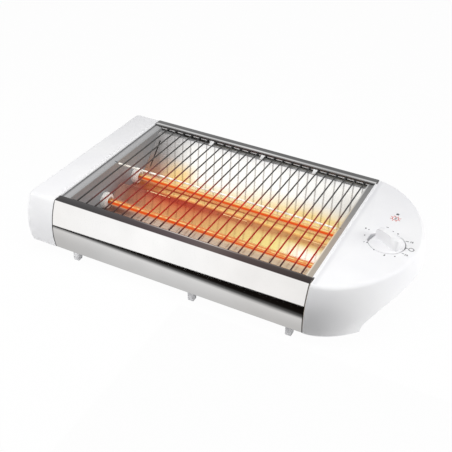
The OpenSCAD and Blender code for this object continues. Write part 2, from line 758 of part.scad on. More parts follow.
module lead_return() {
  color("royalblue") run([[block_at[0] + 5, block_at[1] - 2, block_at[2] + block[2] / 3],
    [block_at[0] + 5, tube_y + 16, tube_z - 4], [tab_xr, tube_y + 0.4 + lead_r + 0.2, tube_z]], lead_r);
}

module lead_lamp() {
  lamp_z = z_t - cap_wall - lamp_l - 8.5;
  color("royalblue") run([[lamp_x, lamp_y, lamp_z], [lamp_x, lamp_y + 8, lamp_z - 8],
    [block_at[0] + 14, block_at[1] - 6, base_top + 12],
    [block_at[0] + 14, block_at[1] - 2, block_at[2] + block[2] / 3]], lead_r);
}

module base_screw(x, y, l) {
  translate([x, y, base_z - 0.05]) screw(l);
}

module left_cap_screws() {
  color("silver") for (s = [-1, 1]) base_screw(boss_left[0], s * boss_left[1], 10);
}

module control_cap_screws() {
  color("silver") for (s = [-1, 1]) base_screw(boss_right[0], s * boss_right[1], 10);
}

module plate_screws() {
  color("silver") for (x = [plate_l - plate_foot_w / 2, plate_r + plate_foot_w / 2], s = [-1, 1])
    base_screw(x, s * plate_screw_y, 5);
}

// Rear face of the tray follows the rear wall, and its pull stays inside the wall's bulge
module crumb_tray() {
  side = tray_x1 - tray_x0;
  color("silver") union() {
    difference() {
      translate([tray_x0, tray_front, tray_z]) cube([side, bottom_half - 2 - tray_front, tray_h]);
      translate([tray_x0 + tray_t, tray_front + tray_t, tray_z + tray_t])
        cube([side - 2 * tray_t, bottom_half - 2 - tray_front - 2 * tray_t, tray_h]);
    }
    along_x(tray_x0, tray_x1) intersection() {
      mirror([1, 0]) translate([wall_r - half_d, z_b + crown_h]) difference() {
        circle(wall_r, $fn = 96);
        circle(wall_r - 2.2 - sheet, $fn = 96);
      }
      translate([bottom_half - 4, tray_z]) square([12, face_h - 2 * slide_gap]);
    }
    translate([x_l + grill_l / 2 - pull_w / 2, bottom_half - 1, tray_z])
      cube([pull_w, half_d - bottom_half + 0.8, 1.6]);
  }
}

module tray_runner(x, s) {
  high = tray_h + 0.2;
  color("gray") translate([x, -grill_half + 20, base_top + 0.05]) cube([1.2, 2 * grill_half - 40, high]);
}

left_end_cap();
control_end_cap();
front_panel();
rear_panel();
base_plate();
recess_cover();
left_inner_plate();
right_inner_plate();
reflector();
grill_wires();
grill_rod();
quartz_tube(-1);  // front_quartz_tube
quartz_tube(1);  // rear_quartz_tube
heating_coil(-1);  // front_heating_coil
heating_coil(1);  // rear_heating_coil
ceramic(-1);  // ceramic_front_left
at_right() ceramic(-1);  // ceramic_front_right
ceramic(1);  // ceramic_rear_left
at_right() ceramic(1);  // ceramic_rear_right
terminal(-1);  // terminal_front_left
at_right() terminal(-1);  // terminal_front_right
terminal(1);  // terminal_rear_left
at_right() terminal(1);  // terminal_rear_right
tube_link();
foot(foot_xs[0], -1);  // foot_front_left
foot(foot_xs[1], -1);  // foot_front_mid
foot(foot_xs[2], -1);  // foot_front_right
foot(foot_xs[0], 1);  // foot_rear_left
foot(foot_xs[1], 1);  // foot_rear_mid
foot(foot_xs[2], 1);  // foot_rear_right
knob();
timer_shaft();
timer_cam();
timer_case();
timer_plate();
timer_contacts();
timer_bell();
timer_screws();
pilot_lens();
pilot_lamp();
terminal_block();
cord_gland();
lead_live();
lead_heater();
lead_return();
lead_lamp();
left_cap_screws();
control_cap_screws();
plate_screws();
crumb_tray();
tray_runner(tray_x0 - slide_gap - 1.2, -1);  // tray_runner_left
tray_runner(tray_x1 + slide_gap, 1);  // tray_runner_right
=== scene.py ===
"""Looks of a flat toaster with two quartz tubes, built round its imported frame."""

from math import acos, cos, pi, radians, sin, sqrt

import bmesh
import bpy
from bpy.props import FloatProperty, FloatVectorProperty, IntProperty, PointerProperty
from mathutils import Matrix, Vector


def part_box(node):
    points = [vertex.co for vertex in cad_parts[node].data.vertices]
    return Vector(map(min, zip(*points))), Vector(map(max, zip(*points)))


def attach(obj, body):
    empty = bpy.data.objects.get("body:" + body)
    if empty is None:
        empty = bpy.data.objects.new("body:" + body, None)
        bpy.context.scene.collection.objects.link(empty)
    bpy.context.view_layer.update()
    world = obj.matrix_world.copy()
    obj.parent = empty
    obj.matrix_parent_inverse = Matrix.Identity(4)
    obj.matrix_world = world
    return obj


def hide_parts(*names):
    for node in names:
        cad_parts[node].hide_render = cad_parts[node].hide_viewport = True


bl_info = {
    "name": "Flat toaster",
    "version": (1, 0, 0),
    "blender": (4, 5, 0),
    "location": "3D View > Sidebar > Toaster",
    "description": "Builds the visible pieces, finishes and stage of a flat quartz-tube toaster",
    "category": "Object",
}

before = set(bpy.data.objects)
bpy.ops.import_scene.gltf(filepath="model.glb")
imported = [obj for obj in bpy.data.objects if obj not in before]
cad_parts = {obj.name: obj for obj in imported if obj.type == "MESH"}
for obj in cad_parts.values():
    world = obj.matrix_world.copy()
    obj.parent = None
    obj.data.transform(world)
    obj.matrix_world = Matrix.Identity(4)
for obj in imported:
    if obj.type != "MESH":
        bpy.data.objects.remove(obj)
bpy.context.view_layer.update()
MM = 0.001
WALL_LOW, WALL_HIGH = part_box("front_panel")
TRAY_LOW, TRAY_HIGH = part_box("crumb_tray")
LEFT_LOW, LEFT_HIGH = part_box("left_end_cap")
END_LOW, END_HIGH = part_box("control_end_cap")
TUBE_Y, TUBE_Z = ((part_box("rear_quartz_tube")[0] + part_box("rear_quartz_tube")[1]) / 2).yz
WIRE_LOW, WIRE_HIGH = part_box("grill_wires")
WIRE_R = (WIRE_HIGH.z - WIRE_LOW.z) / 2
WIRE_X = WIRE_LOW.x + WIRE_R
LIP_Y = -WALL_HIGH.y
# Two places nearer than this count as one.
TINY = 0.01 * MM
BLACK, WHITE = (0, 0, 0, 1), (1, 1, 1, 1)
# Rows of faces up a moulded wall, and the steps round its top edge.
WALL_ROWS = 14
EDGE_TURNS = [k * pi / 14 for k in range(1, 8)]
# Share of the walls' bulge that the left cap's end and the control end follow.
LEFT_LEAN, END_LEAN = 0.1, 0.54
# Exponents of the control end's plan and of its finger arch.
END_POWER, ARCH_POWER = 2 / 1.77, 1.2
# Floor of the knob's well, and the play of the tray in its slot, in millimetres.
WELL_FLOOR, PLAY = 59, 0.4
# Middles of the reflector's crumb slots and of its tabs along X, in millimetres.
CRUMB_SLOTS, TABS = (-104.7, -8.3, 86.0), (-85.4, -18.4, 47.2)
# Depth of the walls' folded lip and of the flange underneath, in millimetres.
LIP_H, UNDER_W = 6, 10


def linear(code):
    """Turns an sRGB hex value to the linear colour that a shader takes."""
    parts = [int(code[k:k + 2], 16) / 255 for k in (0, 2, 4)]
    return tuple(c / 12.92 if c <= 0.04045 else ((c + 0.055) / 1.055) ** 2.4 for c in parts) + (1.0,)


def length(name, text, default):
    """One length of the toaster, in metres."""
    return FloatProperty(name=name, description=text, default=default, unit="LENGTH", subtype="DISTANCE", precision=5)


def colour(name, text, code):
    """One colour of the toaster."""
    return FloatVectorProperty(name=name, description=text, default=linear(code), size=4, min=0, max=1, subtype="COLOR")


class ToasterSizes(bpy.types.PropertyGroup):
    """Lengths that the pieces share, taken from the frame where it has them."""

    joint_l: length("Left joint", "Where the left cap meets the steel walls, along X", LEFT_HIGH.x)
    joint_r: length("Right joint", "Where the control end meets the steel walls, along X", END_LOW.x)
    under: length("Underside", "Height of the caps' lower edge", LEFT_LOW.z)
    top: length("Top", "Height of the caps' flat top", LEFT_HIGH.z)
    half: length("Half depth", "From the middle to the crown of the bulging walls", END_HIGH.y)
    bulge: length("Wall radius", "Radius of the bulging walls", 75 * MM)
    crown: length("Crown height", "Height at which the walls bulge most", 36 * MM)
    cap_l: length("Left cap", "Length of the left cap", LEFT_HIGH.x - LEFT_LOW.x)
    cap_corner: length("Cap corner", "Corner radius of the left cap in plan", 5 * MM)
    end_l: length("Control end", "Length of the control end at its crown", 79.8 * MM)
    edge: length("Top edge", "Radius of the caps' top edge", 3.5 * MM)
    wall: length("Cap wall", "Thickness of the moulded walls", 2.4 * MM)
    sheet: length("Sheet", "Thickness of the steel walls", 0.8 * MM)
    flange: length("Flange", "Depth of the flat flange on top of the steel walls", 11 * MM)
    arch: length("Arch", "Half width of the finger arch", 84.5 * MM)
    arch_h: length("Arch height", "Height of the finger arch", 33 * MM)
    knob_x: length("Knob X", "Axis of the knob along X", 161.85 * MM)
    knob_y: length("Knob Y", "Axis of the knob along Y", -7.8 * MM)
    well: length("Knob well", "Radius of the round well", 19.15 * MM)
    rim: length("Well rim", "Radius of the well's rounded rim", 0.5 * MM)
    disc: length("Knob disc", "Radius of the knob's disc", 18.4 * MM)
    drop: length("Knob drop", "How far the knob's disc lies below the top", 0.35 * MM)
    hollow: length("Knob hollow", "Depth of the finger hollow in the knob's rim", 3.3 * MM)
    wire: length("Wire", "Radius of a grill wire", WIRE_R)
    pitch: length("Wire pitch", "Distance between grill wires", 10.95 * MM)
    tube: length("Tube", "Radius of a quartz tube", 5 * MM)
    wires: IntProperty(name="Wires", description="Number of grill wires", default=24, min=2)
    turns: IntProperty(name="Turns", description="Turns of each heating coil", default=96, min=46)
    pointer: FloatProperty(name="Pointer", description="Turn of the knob's bar at rest", default=radians(-29),
                           subtype="ANGLE")


class ToasterColours(bpy.types.PropertyGroup):
    """Colours that the finishes share."""

    white: colour("White plastic", "Moulded caps and knob", "f6f6f7")
    steel: colour("Polished steel", "Bulging walls", "f5f3f1")
    ink: colour("Dial ink", "Printed scale of the dial", "3e3e42")
    sign: colour("Lamp sign", "Printed sign beside the lamp", "d2453c")
    ember: colour("Ember", "Core of the glowing tubes", "e65018")
    flame: colour("Flame", "Bright glints of the glowing tubes", "ffe49a")


def shade(tone):
    """The colour for a hex value, for a grey level or for a colour itself."""
    if isinstance(tone, str):
        return linear(tone)
    return tone if isinstance(tone, tuple) else (tone, tone, tone, 1)


class Nodes:
    """An emptied node tree, with a short call for each kind of node."""

    def __init__(self, owner):
        owner.use_nodes = True
        self.tree = owner.node_tree
        self.tree.nodes.clear()

    def add(self, kind, feeds=(), **settings):
        """Adds one node. settings are its own, feeds gives inputs a value, a hex colour or a socket."""
        node = self.tree.nodes.new("ShaderNode" + kind)
        for key, value in settings.items():
            setattr(node, key, value)
        for key, value in dict(feeds).items():
            if isinstance(value, bpy.types.NodeSocket):
                self.tree.links.new(value, node.inputs[key])
            else:
                node.inputs[key].default_value = linear(value) if isinstance(value, str) else value
        return node

    def ramp(self, source, *stops):
        """A colour ramp."""
        node = self.add("ValToRGB", {0: source})
        ramp = node.color_ramp.elements
        ramp.remove(ramp[-1])
        for n, (place, tone) in enumerate(stops):
            stop = ramp[0] if n == 0 else ramp.new(place)
            stop.position, stop.color = place, shade(tone)
        return node.outputs[0]

    def span(self, source, low, high, start=0.0, end=1.0, kind="LINEAR"):
        """Spreads a range of the source over start to end."""
        feeds = {0: source, 1: low, 2: high, 3: start, 4: end}
        return self.add("MapRange", feeds, interpolation_type=kind).outputs[0]

    def level(self, source, start, end):
        """Spreads 0 to 1 over start to end."""
        return self.span(source, 0.0, 1.0, start, end)

    def mix(self, share, under, over, how="MIX"):
        """Lays one colour over another."""
        return self.add("Mix", {0: share, 6: under, 7: over}, data_type="RGBA", blend_type=how).outputs[2]

    def math(self, how, *values):
        """A sum of one to three values."""
        return self.add("Math", dict(enumerate(values)), operation=how).outputs[0]

    def seen(self, eye):
        """A level for what the camera sees, and 1 for what metal and glass show."""
        path = self.add("LightPath").outputs
        level = self.math("MULTIPLY", path["Is Camera Ray"], eye)
        for kind in ("Is Glossy Ray", "Is Transmission Ray"):
            level = self.math("MAXIMUM", level, path[kind])
        return level


class Finish(Nodes):
    """A new material round one shader, laid on the object's own coordinates."""

    def __init__(self, name, **sockets):
        self.material = bpy.data.materials.new(name)
        super().__init__(self.material)
        self.shader = self.add("BsdfPrincipled", {key.replace("_", " "): value for key, value in sockets.items()})
        self.add("OutputMaterial", {"Surface": self.shader.outputs[0]})
        self.place = self.add("TexCoord").outputs["Object"]

    def axes(self):
        """The coordinates, split up."""
        return self.add("SeparateXYZ", {0: self.place}).outputs

    def drawn(self, scale, **settings):
        """The coordinates, drawn out."""
        return self.add("Mapping", {0: self.place, "Scale": scale, **settings}).outputs[0]

    def noise(self, size, detail, place=None):
        """Noise with a real size in millimetres."""
        feeds = {"Vector": place or self.place, "Scale": 1 / (size * MM), "Detail": detail}
        return self.add("TexNoise", feeds).outputs[0]

    def bump(self, height, strength):
        """A fine relief."""
        return self.add("Bump", {"Strength": strength, "Distance": 0.05 * MM, "Height": height}).outputs[0]

    def end(self, **sources):
        """Links what was made to the shader and gives the material."""
        for key, source in sources.items():
            self.tree.links.new(source, self.shader.inputs[key.replace("_", " ")])
        return self.material


def white_abs():
    # Moulded white ABS from a spark-eroded mould: an even satin white with a very fine grain.
    sizes, hues = bpy.context.scene.toaster_sizes, bpy.context.scene.toaster_colours
    made = Finish("moulded_white_abs", IOR=1.53)
    x, y, z = made.axes()
    tone = made.ramp(made.noise(55, 2), (0.35, "f2f2f4"), (0.6, tuple(hues.white)))
    # Painted shade: the control end's top is darkened in a narrow band just past its bead along the joint.
    past = made.span(x, sizes.joint_r, sizes.joint_r + 8 * MM)
    sunk = made.ramp(past, (0, "ffffff"), (0.12, "ffffff"), (0.28, "f2f2f3"), (0.46, "f4f4f5"), (0.8, "ffffff"))
    tone = made.mix(made.math("GREATER_THAN", z, sizes.top - 0.4 * MM), tone, sunk, "MULTIPLY")
    # Painted shade: the white darkens a little towards the rear, where less light falls on it.
    rear = made.span(y, -70 * MM, 90 * MM)
    tone = made.mix(1, tone, made.ramp(rear, (0, "ffffff"), (0.5, "fcfcfc"), (1, "f8f8f9")), "MULTIPLY")
    # The real grain is about 0.1 mm; it is drawn at 0.6 mm so that it shows.
    grain = made.noise(0.6, 1)
    return made.end(Base_Color=tone, Roughness=made.level(grain, 0.3, 0.4), Normal=made.bump(grain, 0.06))


def polished_steel():
    # Polished stainless sheet: a clear mirror on the walls, and a painted dark reflection on the flanges beside the
    # grill.
    sizes, hues = bpy.context.scene.toaster_sizes, bpy.context.scene.toaster_colours
    made = Finish("polished_stainless_steel")
    x, y, z = made.axes()
    reach = made.math("ABSOLUTE", y)
    along = made.span(x, sizes.joint_l, sizes.joint_r)
    # Painted reflection on the front flange: dark grey, warmed in the middle of its length by the mirrored glow.
    front = made.ramp(along, (0, "434142"), (0.15, "444243"), (0.35, "4d4446"), (0.52, "5c5153"), (0.63, "655a58"),
                      (0.74, "504443"), (1, "3a3433"))
    # The front flange's inner fold catches the light in the middle of its length.
    lit = made.ramp(along, (0.3, "000000"), (0.48, "e0e0e0"), (0.62, "e0e0e0"), (0.75, "606060"), (1, "505050"))
    fold = made.math("MULTIPLY", made.span(reach, LIP_Y + 2.6 * MM, LIP_Y + 1.3 * MM), lit)
    front = made.mix(fold, front, "e6dcd6")
    # Painted reflection: the rear flange runs from dull grey to a painted bright line before its fold, with lighter
    # streaks about 5 mm apart.
    across = made.span(reach, LIP_Y, LIP_Y + sizes.flange)
    rear = made.ramp(across, (0, "8c8c8c"), (0.07, "c8c8c8"), (0.16, "ececea"), (0.24, "dadada"), (0.32, "929292"),
                     (0.42, "6c6c6c"), (0.9, "626262"), (1, "808080"))
    streak = made.noise(5, 2, made.drawn((0.06, 1, 1), Rotation=(0, 0, radians(8))))
    rear = made.mix(1, rear, made.ramp(streak, (0.35, "d4d4d4"), (0.65, "ffffff")), "MULTIPLY")
    flange = made.mix(made.math("GREATER_THAN", y, 0), front, rear)
    # Wear: soft clouds about 40 mm wide where hands have wiped the wall.
    cloud = made.noise(40, 3)
    steel = tuple(hues.steel)
    # Painted reflection: the wall is a little brighter towards the middle of its length and duller at its ends.
    wall = made.ramp(along, (0, steel), (0.2, "f7f6f5"), (0.38, "fefdfc"), (0.58, "f9f8f7"), (0.8, steel),
                     (1, "efedeb"))
    wall = made.mix(1, wall, made.ramp(cloud, (0.3, "f8f8f8"), (0.6, "ffffff")), "MULTIPLY")
    tone = made.mix(made.span(z, sizes.top - 0.35 * MM, sizes.top - 0.1 * MM), wall, flange)
    # Painted shade: the sheet is darkened at its two cut ends, where the gaps of the joints lie in shadow.
    span = made.math("ABSOLUTE", made.span(x, WALL_LOW.x, WALL_HIGH.x, -1.0, 1))
    tone = made.mix(made.span(span, 0.9935, 0.997), tone, "4a4848")
    # The lip's notches for the wires are painted: pale tongues between dark notches, above a near-black band of painted
    # shade.
    phase = made.math("ADD", x, sizes.pitch / 2 - WIRE_X)
    phase = made.math("SUBTRACT", made.math("FLOORED_MODULO", phase, sizes.pitch), sizes.pitch / 2)
    tongue = made.span(made.math("ABSOLUTE", phase), 1.1 * MM, 1.8 * MM)
    drop = made.span(z, sizes.top - LIP_H * MM, sizes.top)
    edge = (0.52, "3c3c3c"), (0.64, "323232"), (0.76, "4c4c4c"), (0.9, "767676"), (1, "9a9a9a")
    pale = made.ramp(drop, (0, "161616"), (0.24, "1e1e1e"), (0.3, "dcdcdc"), (0.46, "e6e6e6"), *edge)
    dark = made.ramp(drop, (0, "161616"), (0.4, "262626"), *edge)
    above = made.math("GREATER_THAN", z, sizes.crown)
    inner = made.math("MULTIPLY", made.math("LESS_THAN", reach, LIP_Y + 0.5 * MM), above)
    tone = made.mix(inner, tone, made.mix(tongue, dark, pale))
    rough = made.level(cloud, 0.045, 0.085)
    return made.end(Base_Color=tone, Metallic=made.level(inner, 1, 0.1), Roughness=rough)


def grey_sheet():
    # Zinc-plated sheet of the inner plates: dull grey, with the glow between the tubes painted on in red, and part of
    # its tone emitted.
    sizes = bpy.context.scene.toaster_sizes
    made = Finish("zinc_plated_sheet", Metallic=0.2, Emission_Strength=0.3)
    x, y, z = made.axes()
    # Painted light: the left plate is lighter in a band near its top, where it slopes towards the light.
    left = made.ramp(made.span(z, 18 * MM, 66.5 * MM), (0, "a2a4a6"), (0.6, "aaacae"), (0.95, "a0a1a2"),
                     (0.978, "a8a9aa"), (0.986, "b8b8b9"), (1, "b4b4b5"))
    # Painted shade: it is darkened where it laps under the left cap.
    lap_shade = made.span(x, sizes.joint_l + 1.2 * MM, sizes.joint_l + 3.4 * MM, kind="SMOOTHSTEP")
    left = made.mix(lap_shade, "6a6a6b", left)
    # Painted glow: reddish brown round the middle of the left plate, low down between the tubes.
    near = made.drawn((0, 1 / (40 * MM), 1 / (26 * MM)), Location=(0, 0, -1))
    near = made.add("VectorMath", {0: near}, operation="LENGTH").outputs["Value"]
    left = made.mix(made.span(near, 0.2, 1, 0.5, 0, "SMOOTHSTEP"), left, "8e5648")
    deep = made.span(y, -100 * MM, 100 * MM)
    # Painted light: the right plate is warm and light at the front, where the glow reaches it, and greyer towards the
    # rear.
    right = made.ramp(deep, (0, "c0b6a8"), (0.45, "b0a398"), (0.62, "969492"), (1, "828282"))
    # The right plate's rounded fold mirrors the glow.
    fold = made.span(x, sizes.joint_r - 7.6 * MM, sizes.joint_r - 8.6 * MM)
    glow = made.ramp(deep, (0, "f0e4d0"), (0.25, "fff4de"), (0.45, "ecd2a2"), (0.62, "e0d2b8"), (0.8, "e0e0dc"),
                     (1, "d0d0d0"))
    tone = made.mix(made.math("GREATER_THAN", x, 0), left, made.mix(fold, right, glow))
    # Spangle of the zinc, about 3 mm.
    spangle = made.add("TexVoronoi", {"Vector": made.place, "Scale": 1 / (3 * MM)}).outputs[0]
    rough = made.level(spangle, 0.38, 0.52)
    # Painted light: the base is darkened and part of the tone is emitted, so the plates stay lit inside the walls.
    return made.end(Base_Color=made.mix(0.45, tone, BLACK), Emission_Color=tone, Roughness=rough)


def reflector_sheet():
    # Bright rolled aluminium, a half-clear mirror, with the glow painted on in bands along X: painted shade in brown
    # over the ridge and in a dark line behind it, painted reflections in gold beside the tubes and white up the rear
    # wall, dimmer at the left end and hotter at the right.
    made = Finish("bright_rolled_aluminium", Specular_IOR_Level=0.0)
    x, y, _ = made.axes()
    deep = made.span(y, -90 * MM, 90 * MM)
    bands = lambda *stops: made.ramp(deep, *[((at + 90) / 180, tone) for at, tone in stops])
    along = lambda start, end: made.span(x, start * MM, end * MM, kind="SMOOTHSTEP")
    ridge_shade, shade_line, gold, white = "ae4230", "a85030", "e9ca86", "f8f8f4"
    warm = bands((-58, "6a6462"), (-46, "b2a8a0"), (-28, "d2c6b4"), (-18, "c89a66"), (-8, "c87650"), (-3, ridge_shade),
                 (23, ridge_shade), (26.5, "e2ae70"), (28.5, gold), (33.4, gold), (35, shade_line), (36.8, shade_line), (38.4, "f0b870"),
                 (45, "e8c080"), (52, "e4d8aa"), (60, white), (84, white), (90, "e4e4e4"))
    cool = bands((-60, "585250"), (-24, "9a7668"), (-8, "aa705c"), (8, "9c5448"), (28, "b05c42"), (34, "d88a58"),
                 (40, "d89064"), (54, "c8967a"), (64, "b69c8e"), (74, "a8a6a5"), (90, "b8b8b8"))
    tone = made.mix(along(-146, -90), cool, warm)
    glow_share = along(-80, 70)
    flare = made.math("MULTIPLY", along(-140, -112), along(-80, -104))
    gap_shade = made.math("COMPARE", x, -150 * MM, 0.85 * MM)
    for share, patch, hue in (
        # The painted glow grows towards the right: straw on the front slope, ochre elsewhere; painted shade greys the
        # rear wall.
        (glow_share, ((-60, 0), (-30, 0.12), (-18, 0.85), (-8, 0.8), (-3, 0.3), (20, 0.3), (28, 0.4), (45, 0.3), (54, 0)),
         "f0ee9c"),
        (glow_share, ((44, 0), (50, 0.85), (58, 0.85), (70, 0)), "e6ca7c"),
        (along(10, 95), ((58, 0), (68, 0.5), (78, 0.4), (88, 0.1)), "c6c6c4"),
        # The left end mirrors the grey plate beside it.
        (along(-137, -150), ((-40, 0), (-20, 0.6), (20, 0.45), (36, 0)), "c4a698"),
        # Painted glow: the brightest patch, low on the ridge's front slope.
        (along(45, 82), ((-28, 0), (-22, 1), (-12, 1), (-5, 0)), "fffbf2"),
        # A yellow flare behind the rear tube's left end.
        (flare, ((44, 0), (54, 0.85), (62, 0.75), (72, 0)), "f0cc78"),
        # The far right falls into the plate's shade.
        (along(78, 106), ((-30, 0), (-4, 0.3), (70, 0.45), (90, 0)), "b8b0a4"),
        # Painted shade: a dark line near the left end of the rear wall, where the gap beside the plate lies in shadow.
        (gap_shade, ((57, 0), (60, 0.7), (83, 1), (83.6, 0)), "2a2726"),
    ):
        tone = made.mix(made.math("MULTIPLY", share, bands(*patch)), tone, hue)
    # Rolling marks along X, drawn 1.5 mm apart so that they show.
    marks = made.noise(1.5, 1, made.drawn((0.03, 1, 1)))
    bright = made.math("MULTIPLY", bands((40, 0.3), (56, 0.55)), made.span(x, -150 * MM, -105 * MM, 0.15, 1))
    # Painted glow: part of the tone is emitted, faintly at the left end and more from a little way in.
    glow = made.span(x, -150 * MM, -108 * MM, 0.04, 0.25)
    return made.end(Base_Color=tone, Emission_Color=tone, Metallic=bright, Roughness=made.level(marks, 0.035, 0.07),
                    Emission_Strength=glow)


def grill_steel():
    # Drawn steel wire: dark grey where it is cool, with the tubes' glow painted on it: dark red over the heat and
    # bright red above each tube.
    made = Finish("drawn_steel_wire", Metallic=0.2, Specular_IOR_Level=0.15)
    x, y, _ = made.axes()
    deep = made.span(y, -100 * MM, 100 * MM)
    warm = made.ramp(deep, (0, "343232"), (0.06, "55302c"), (0.1, "a82a1a"), (0.125, "cc2c18"), (0.16, "b42a18"),
                     (0.24, "9e2817"), (0.36, "9e2817"), (0.4, "b82c1a"), (0.43, "dc301a"), (0.47, "a03020"),
                     (0.53, "844238"), (0.6, "5c4a46"), (0.66, "4a4848"), (0.9, "4a4a4a"), (1, "383838"))
    cool = made.ramp(deep, (0, "343333"), (0.1, "444242"), (0.5, "4c4a49"), (1, "444343"))
    tone = made.mix(made.span(x, -142 * MM, -86 * MM), cool, warm)
    # Scale of the drawn wire, flecks about 1 mm long.
    return made.end(Base_Color=tone, Roughness=made.level(made.noise(1, 1), 0.35, 0.55))


def lit_quartz():
    # Clear quartz round a glowing coil: a veil below, an ember core, golden glints on it, and bare glass at the top.
    sizes, hues = bpy.context.scene.toaster_sizes, bpy.context.scene.toaster_colours
    made = Finish("quartz_glass_lit", Roughness=0.2, IOR=1.46, Specular_IOR_Level=0.15, Base_Color="4a1a08")
    ramp, math, mix = made.ramp, made.math, made.mix
    x, y, z = made.axes()
    # Across each tube, from its lower front to its upper rear.
    tilt = radians(34)
    over = math("SUBTRACT", math("FLOORED_MODULO", math("ADD", y, 2 * TUBE_Y), 2 * TUBE_Y), TUBE_Y)
    over = math("ADD", math("MULTIPLY", over, sin(tilt)), math("MULTIPLY", math("SUBTRACT", z, TUBE_Z), cos(tilt)))
    rise = made.span(over, -sizes.tube, sizes.tube)
    back = made.span(y, -1 * MM, 1 * MM)
    ember = tuple(hues.ember)
    core = (0.2, "e0a074"), (0.28, "dc7a48"), (0.34, ember), (0.45, ember)
    front = ramp(rise, *core, (0.52, "e2743a"), (0.63, "f0b06c"), (0.7, "eaa060"), (0.78, "e0864e"), (1, "e0b484"))
    rear = ramp(rise, *core, (0.5, "ea8642"), (0.6, "f2b468"), (0.66, "f4c884"), (0.74, "e4b07c"), (0.84, "f4dcb0"),
                (1, "fae8c4"))
    tone = mix(back, front, rear)
    # Below the core the glass carries a veil of the reflector's light, which grows from the cool left end.
    along = made.span(x, -145 * MM, 105 * MM)
    veil = mix(back,
               ramp(along, (0, "6c6260"), (0.1, "b08c7c"), (0.25, "ae8a74"), (0.6, "d2bc9c"), (1, "d8c6a8")),
               ramp(along, (0, "84483c"), (0.1, "d48458"), (0.4, "cc7e4c"), (0.7, "d69a62"), (1, "e4c090")))
    tone = mix(ramp(rise, (0.12, 1), (0.22, 0)), tone, veil)
    # The core thins out to two lines with a pale thread between them towards the right of the front tube.
    right = math("MULTIPLY", made.span(x, -60 * MM, 40 * MM, 0, 0.8), math("SUBTRACT", 1, back))
    thread = math("MULTIPLY", ramp(rise, (0.4, 0), (0.44, 1), (0.48, 1), (0.52, 0)), right)
    tone = mix(thread, tone, "f2c078")
    # Golden glints broken every few millimetres along the tube.
    gaps = made.span(made.noise(4.5, 1, made.drawn((1, 0.1, 0.3))), 0.44, 0.52)
    glint = math("MULTIPLY", gaps, ramp(rise, (0.57, 0), (0.61, 1), (0.66, 1), (0.7, 0)))
    tone = mix(glint, tone, tuple(hues.flame))
    cover = ramp(rise, (0, 0.3), (0.2, 0.3), (0.3, 0.8), (0.5, 0.88), (0.68, 0.8), (0.78, 0.35), (0.86, 0.12),
                 (1, 0.06))
    return made.end(Emission_Color=tone, Alpha=math("MAXIMUM", cover, glint),
                    Emission_Strength=made.span(x, -150 * MM, -140 * MM, 0.15, 0.92))


def glowing_coil():
    # Resistance wire at red heat: ember orange with slow changes along its length; painted light makes its lower turns
    # dull gold and its top paler.
    hues = bpy.context.scene.toaster_colours
    made = Finish("resistance_wire_red_hot", Roughness=0.5, Base_Color="5a200a", Emission_Strength=0.85)
    z = made.axes()[2]
    hot = made.ramp(made.span(z, TUBE_Z - 3.15 * MM, TUBE_Z + 3.15 * MM), (0, "b06c3c"), (0.3, "d08844"),
                    (0.42, "d85a20"), (0.55, tuple(hues.ember)), (0.75, "e4622a"), (0.86, "e88a48"), (1, "eca464"))
    # Uneven heat along the coil, in stretches of about 9 mm.
    spread = made.span(made.noise(9, 1), 0.45, 0.8, 0, 0.3)
    return made.end(Emission_Color=made.mix(spread, hot, "ffa850"))


def plain_finish(name, low, high, grain, rough, metallic=0.0, glow=0.0):
    """A finish of two close tones that change over a real grain in millimetres, with roughness that follows it."""
    # glow emits the tone itself, as painted light.
    made = Finish(name, Metallic=metallic, Emission_Strength=glow)
    cloud = made.noise(grain, 3)
    tone = made.ramp(cloud, (0.35, low), (0.65, high))
    return made.end(Base_Color=tone, Emission_Color=tone, Roughness=made.level(cloud, rough * 0.8, rough * 1.2),
                    Normal=made.bump(cloud, 0.08))


def chain(bm, points, closed=False):
    """A row of new vertices joined by edges."""
    row = [bm.verts.new(Vector(p) * MM) for p in points]
    for pair in zip(row, row[1:] + (row[:1] if closed else [])):
        bm.edges.new(pair)
    return row


def grow(bm, row, points, closed=False):
    """Extrudes a row of vertices and sets the new row on the points."""
    edges = [bm.edges.get(pair) for pair in zip(row, row[1:] + (row[:1] if closed else []))]
    fresh = {v for v in bmesh.ops.extrude_edge_only(bm, edges=edges)["geom"] if isinstance(v, bmesh.types.BMVert)}
    over = {e.other_vert(v): v for v in fresh for e in v.link_edges if e.other_vert(v) not in fresh}
    row = [over[v] for v in row]
    for v, p in zip(row, points):
        v.co = Vector(p) * MM
    return row


def skin(bm, rows, closed=False):
    """Joins rows of points to a skin and gives its rows of vertices."""
    made = [chain(bm, rows[0], closed)]
    for points in rows[1:]:
        made.append(grow(bm, made[-1], points, closed))
    return made


def turned(bm, profile, centre, axis):
    """Spins a closed profile right round an axis."""
    row = chain(bm, profile, True)
    edges = [e for v in row for e in v.link_edges]
    bmesh.ops.spin(bm, geom=row + list(set(edges)), cent=Vector(centre) * MM, axis=axis, angle=2 * pi, steps=48,
                   use_merge=True)


def lathe(bm, profile, y, z):
    """Spins a profile of places and radii round a line along X."""
    turned(bm, [(x, y + r, z) for x, r in profile], (0, y, z), (1, 0, 0))


def block(bm, low, high):
    """A block between two corners, in metres."""
    bmesh.ops.create_cube(bm, size=1, matrix=Matrix.Translation((low + high) / 2) @ Matrix.Diagonal((*(high - low), 1)))


def soften(bm, edges, width, segments=3):
    """Rounds edges by a width in millimetres."""
    bmesh.ops.bevel(bm, geom=list(edges), offset=width * MM, offset_type="OFFSET", affect="EDGES", segments=segments,
                    profile=0.5, material=-1, clamp_overlap=True)


def shown(name, data):
    """Puts an object with its data in the scene."""
    made = bpy.data.objects.new(name, data)
    bpy.context.scene.collection.objects.link(made)
    return made


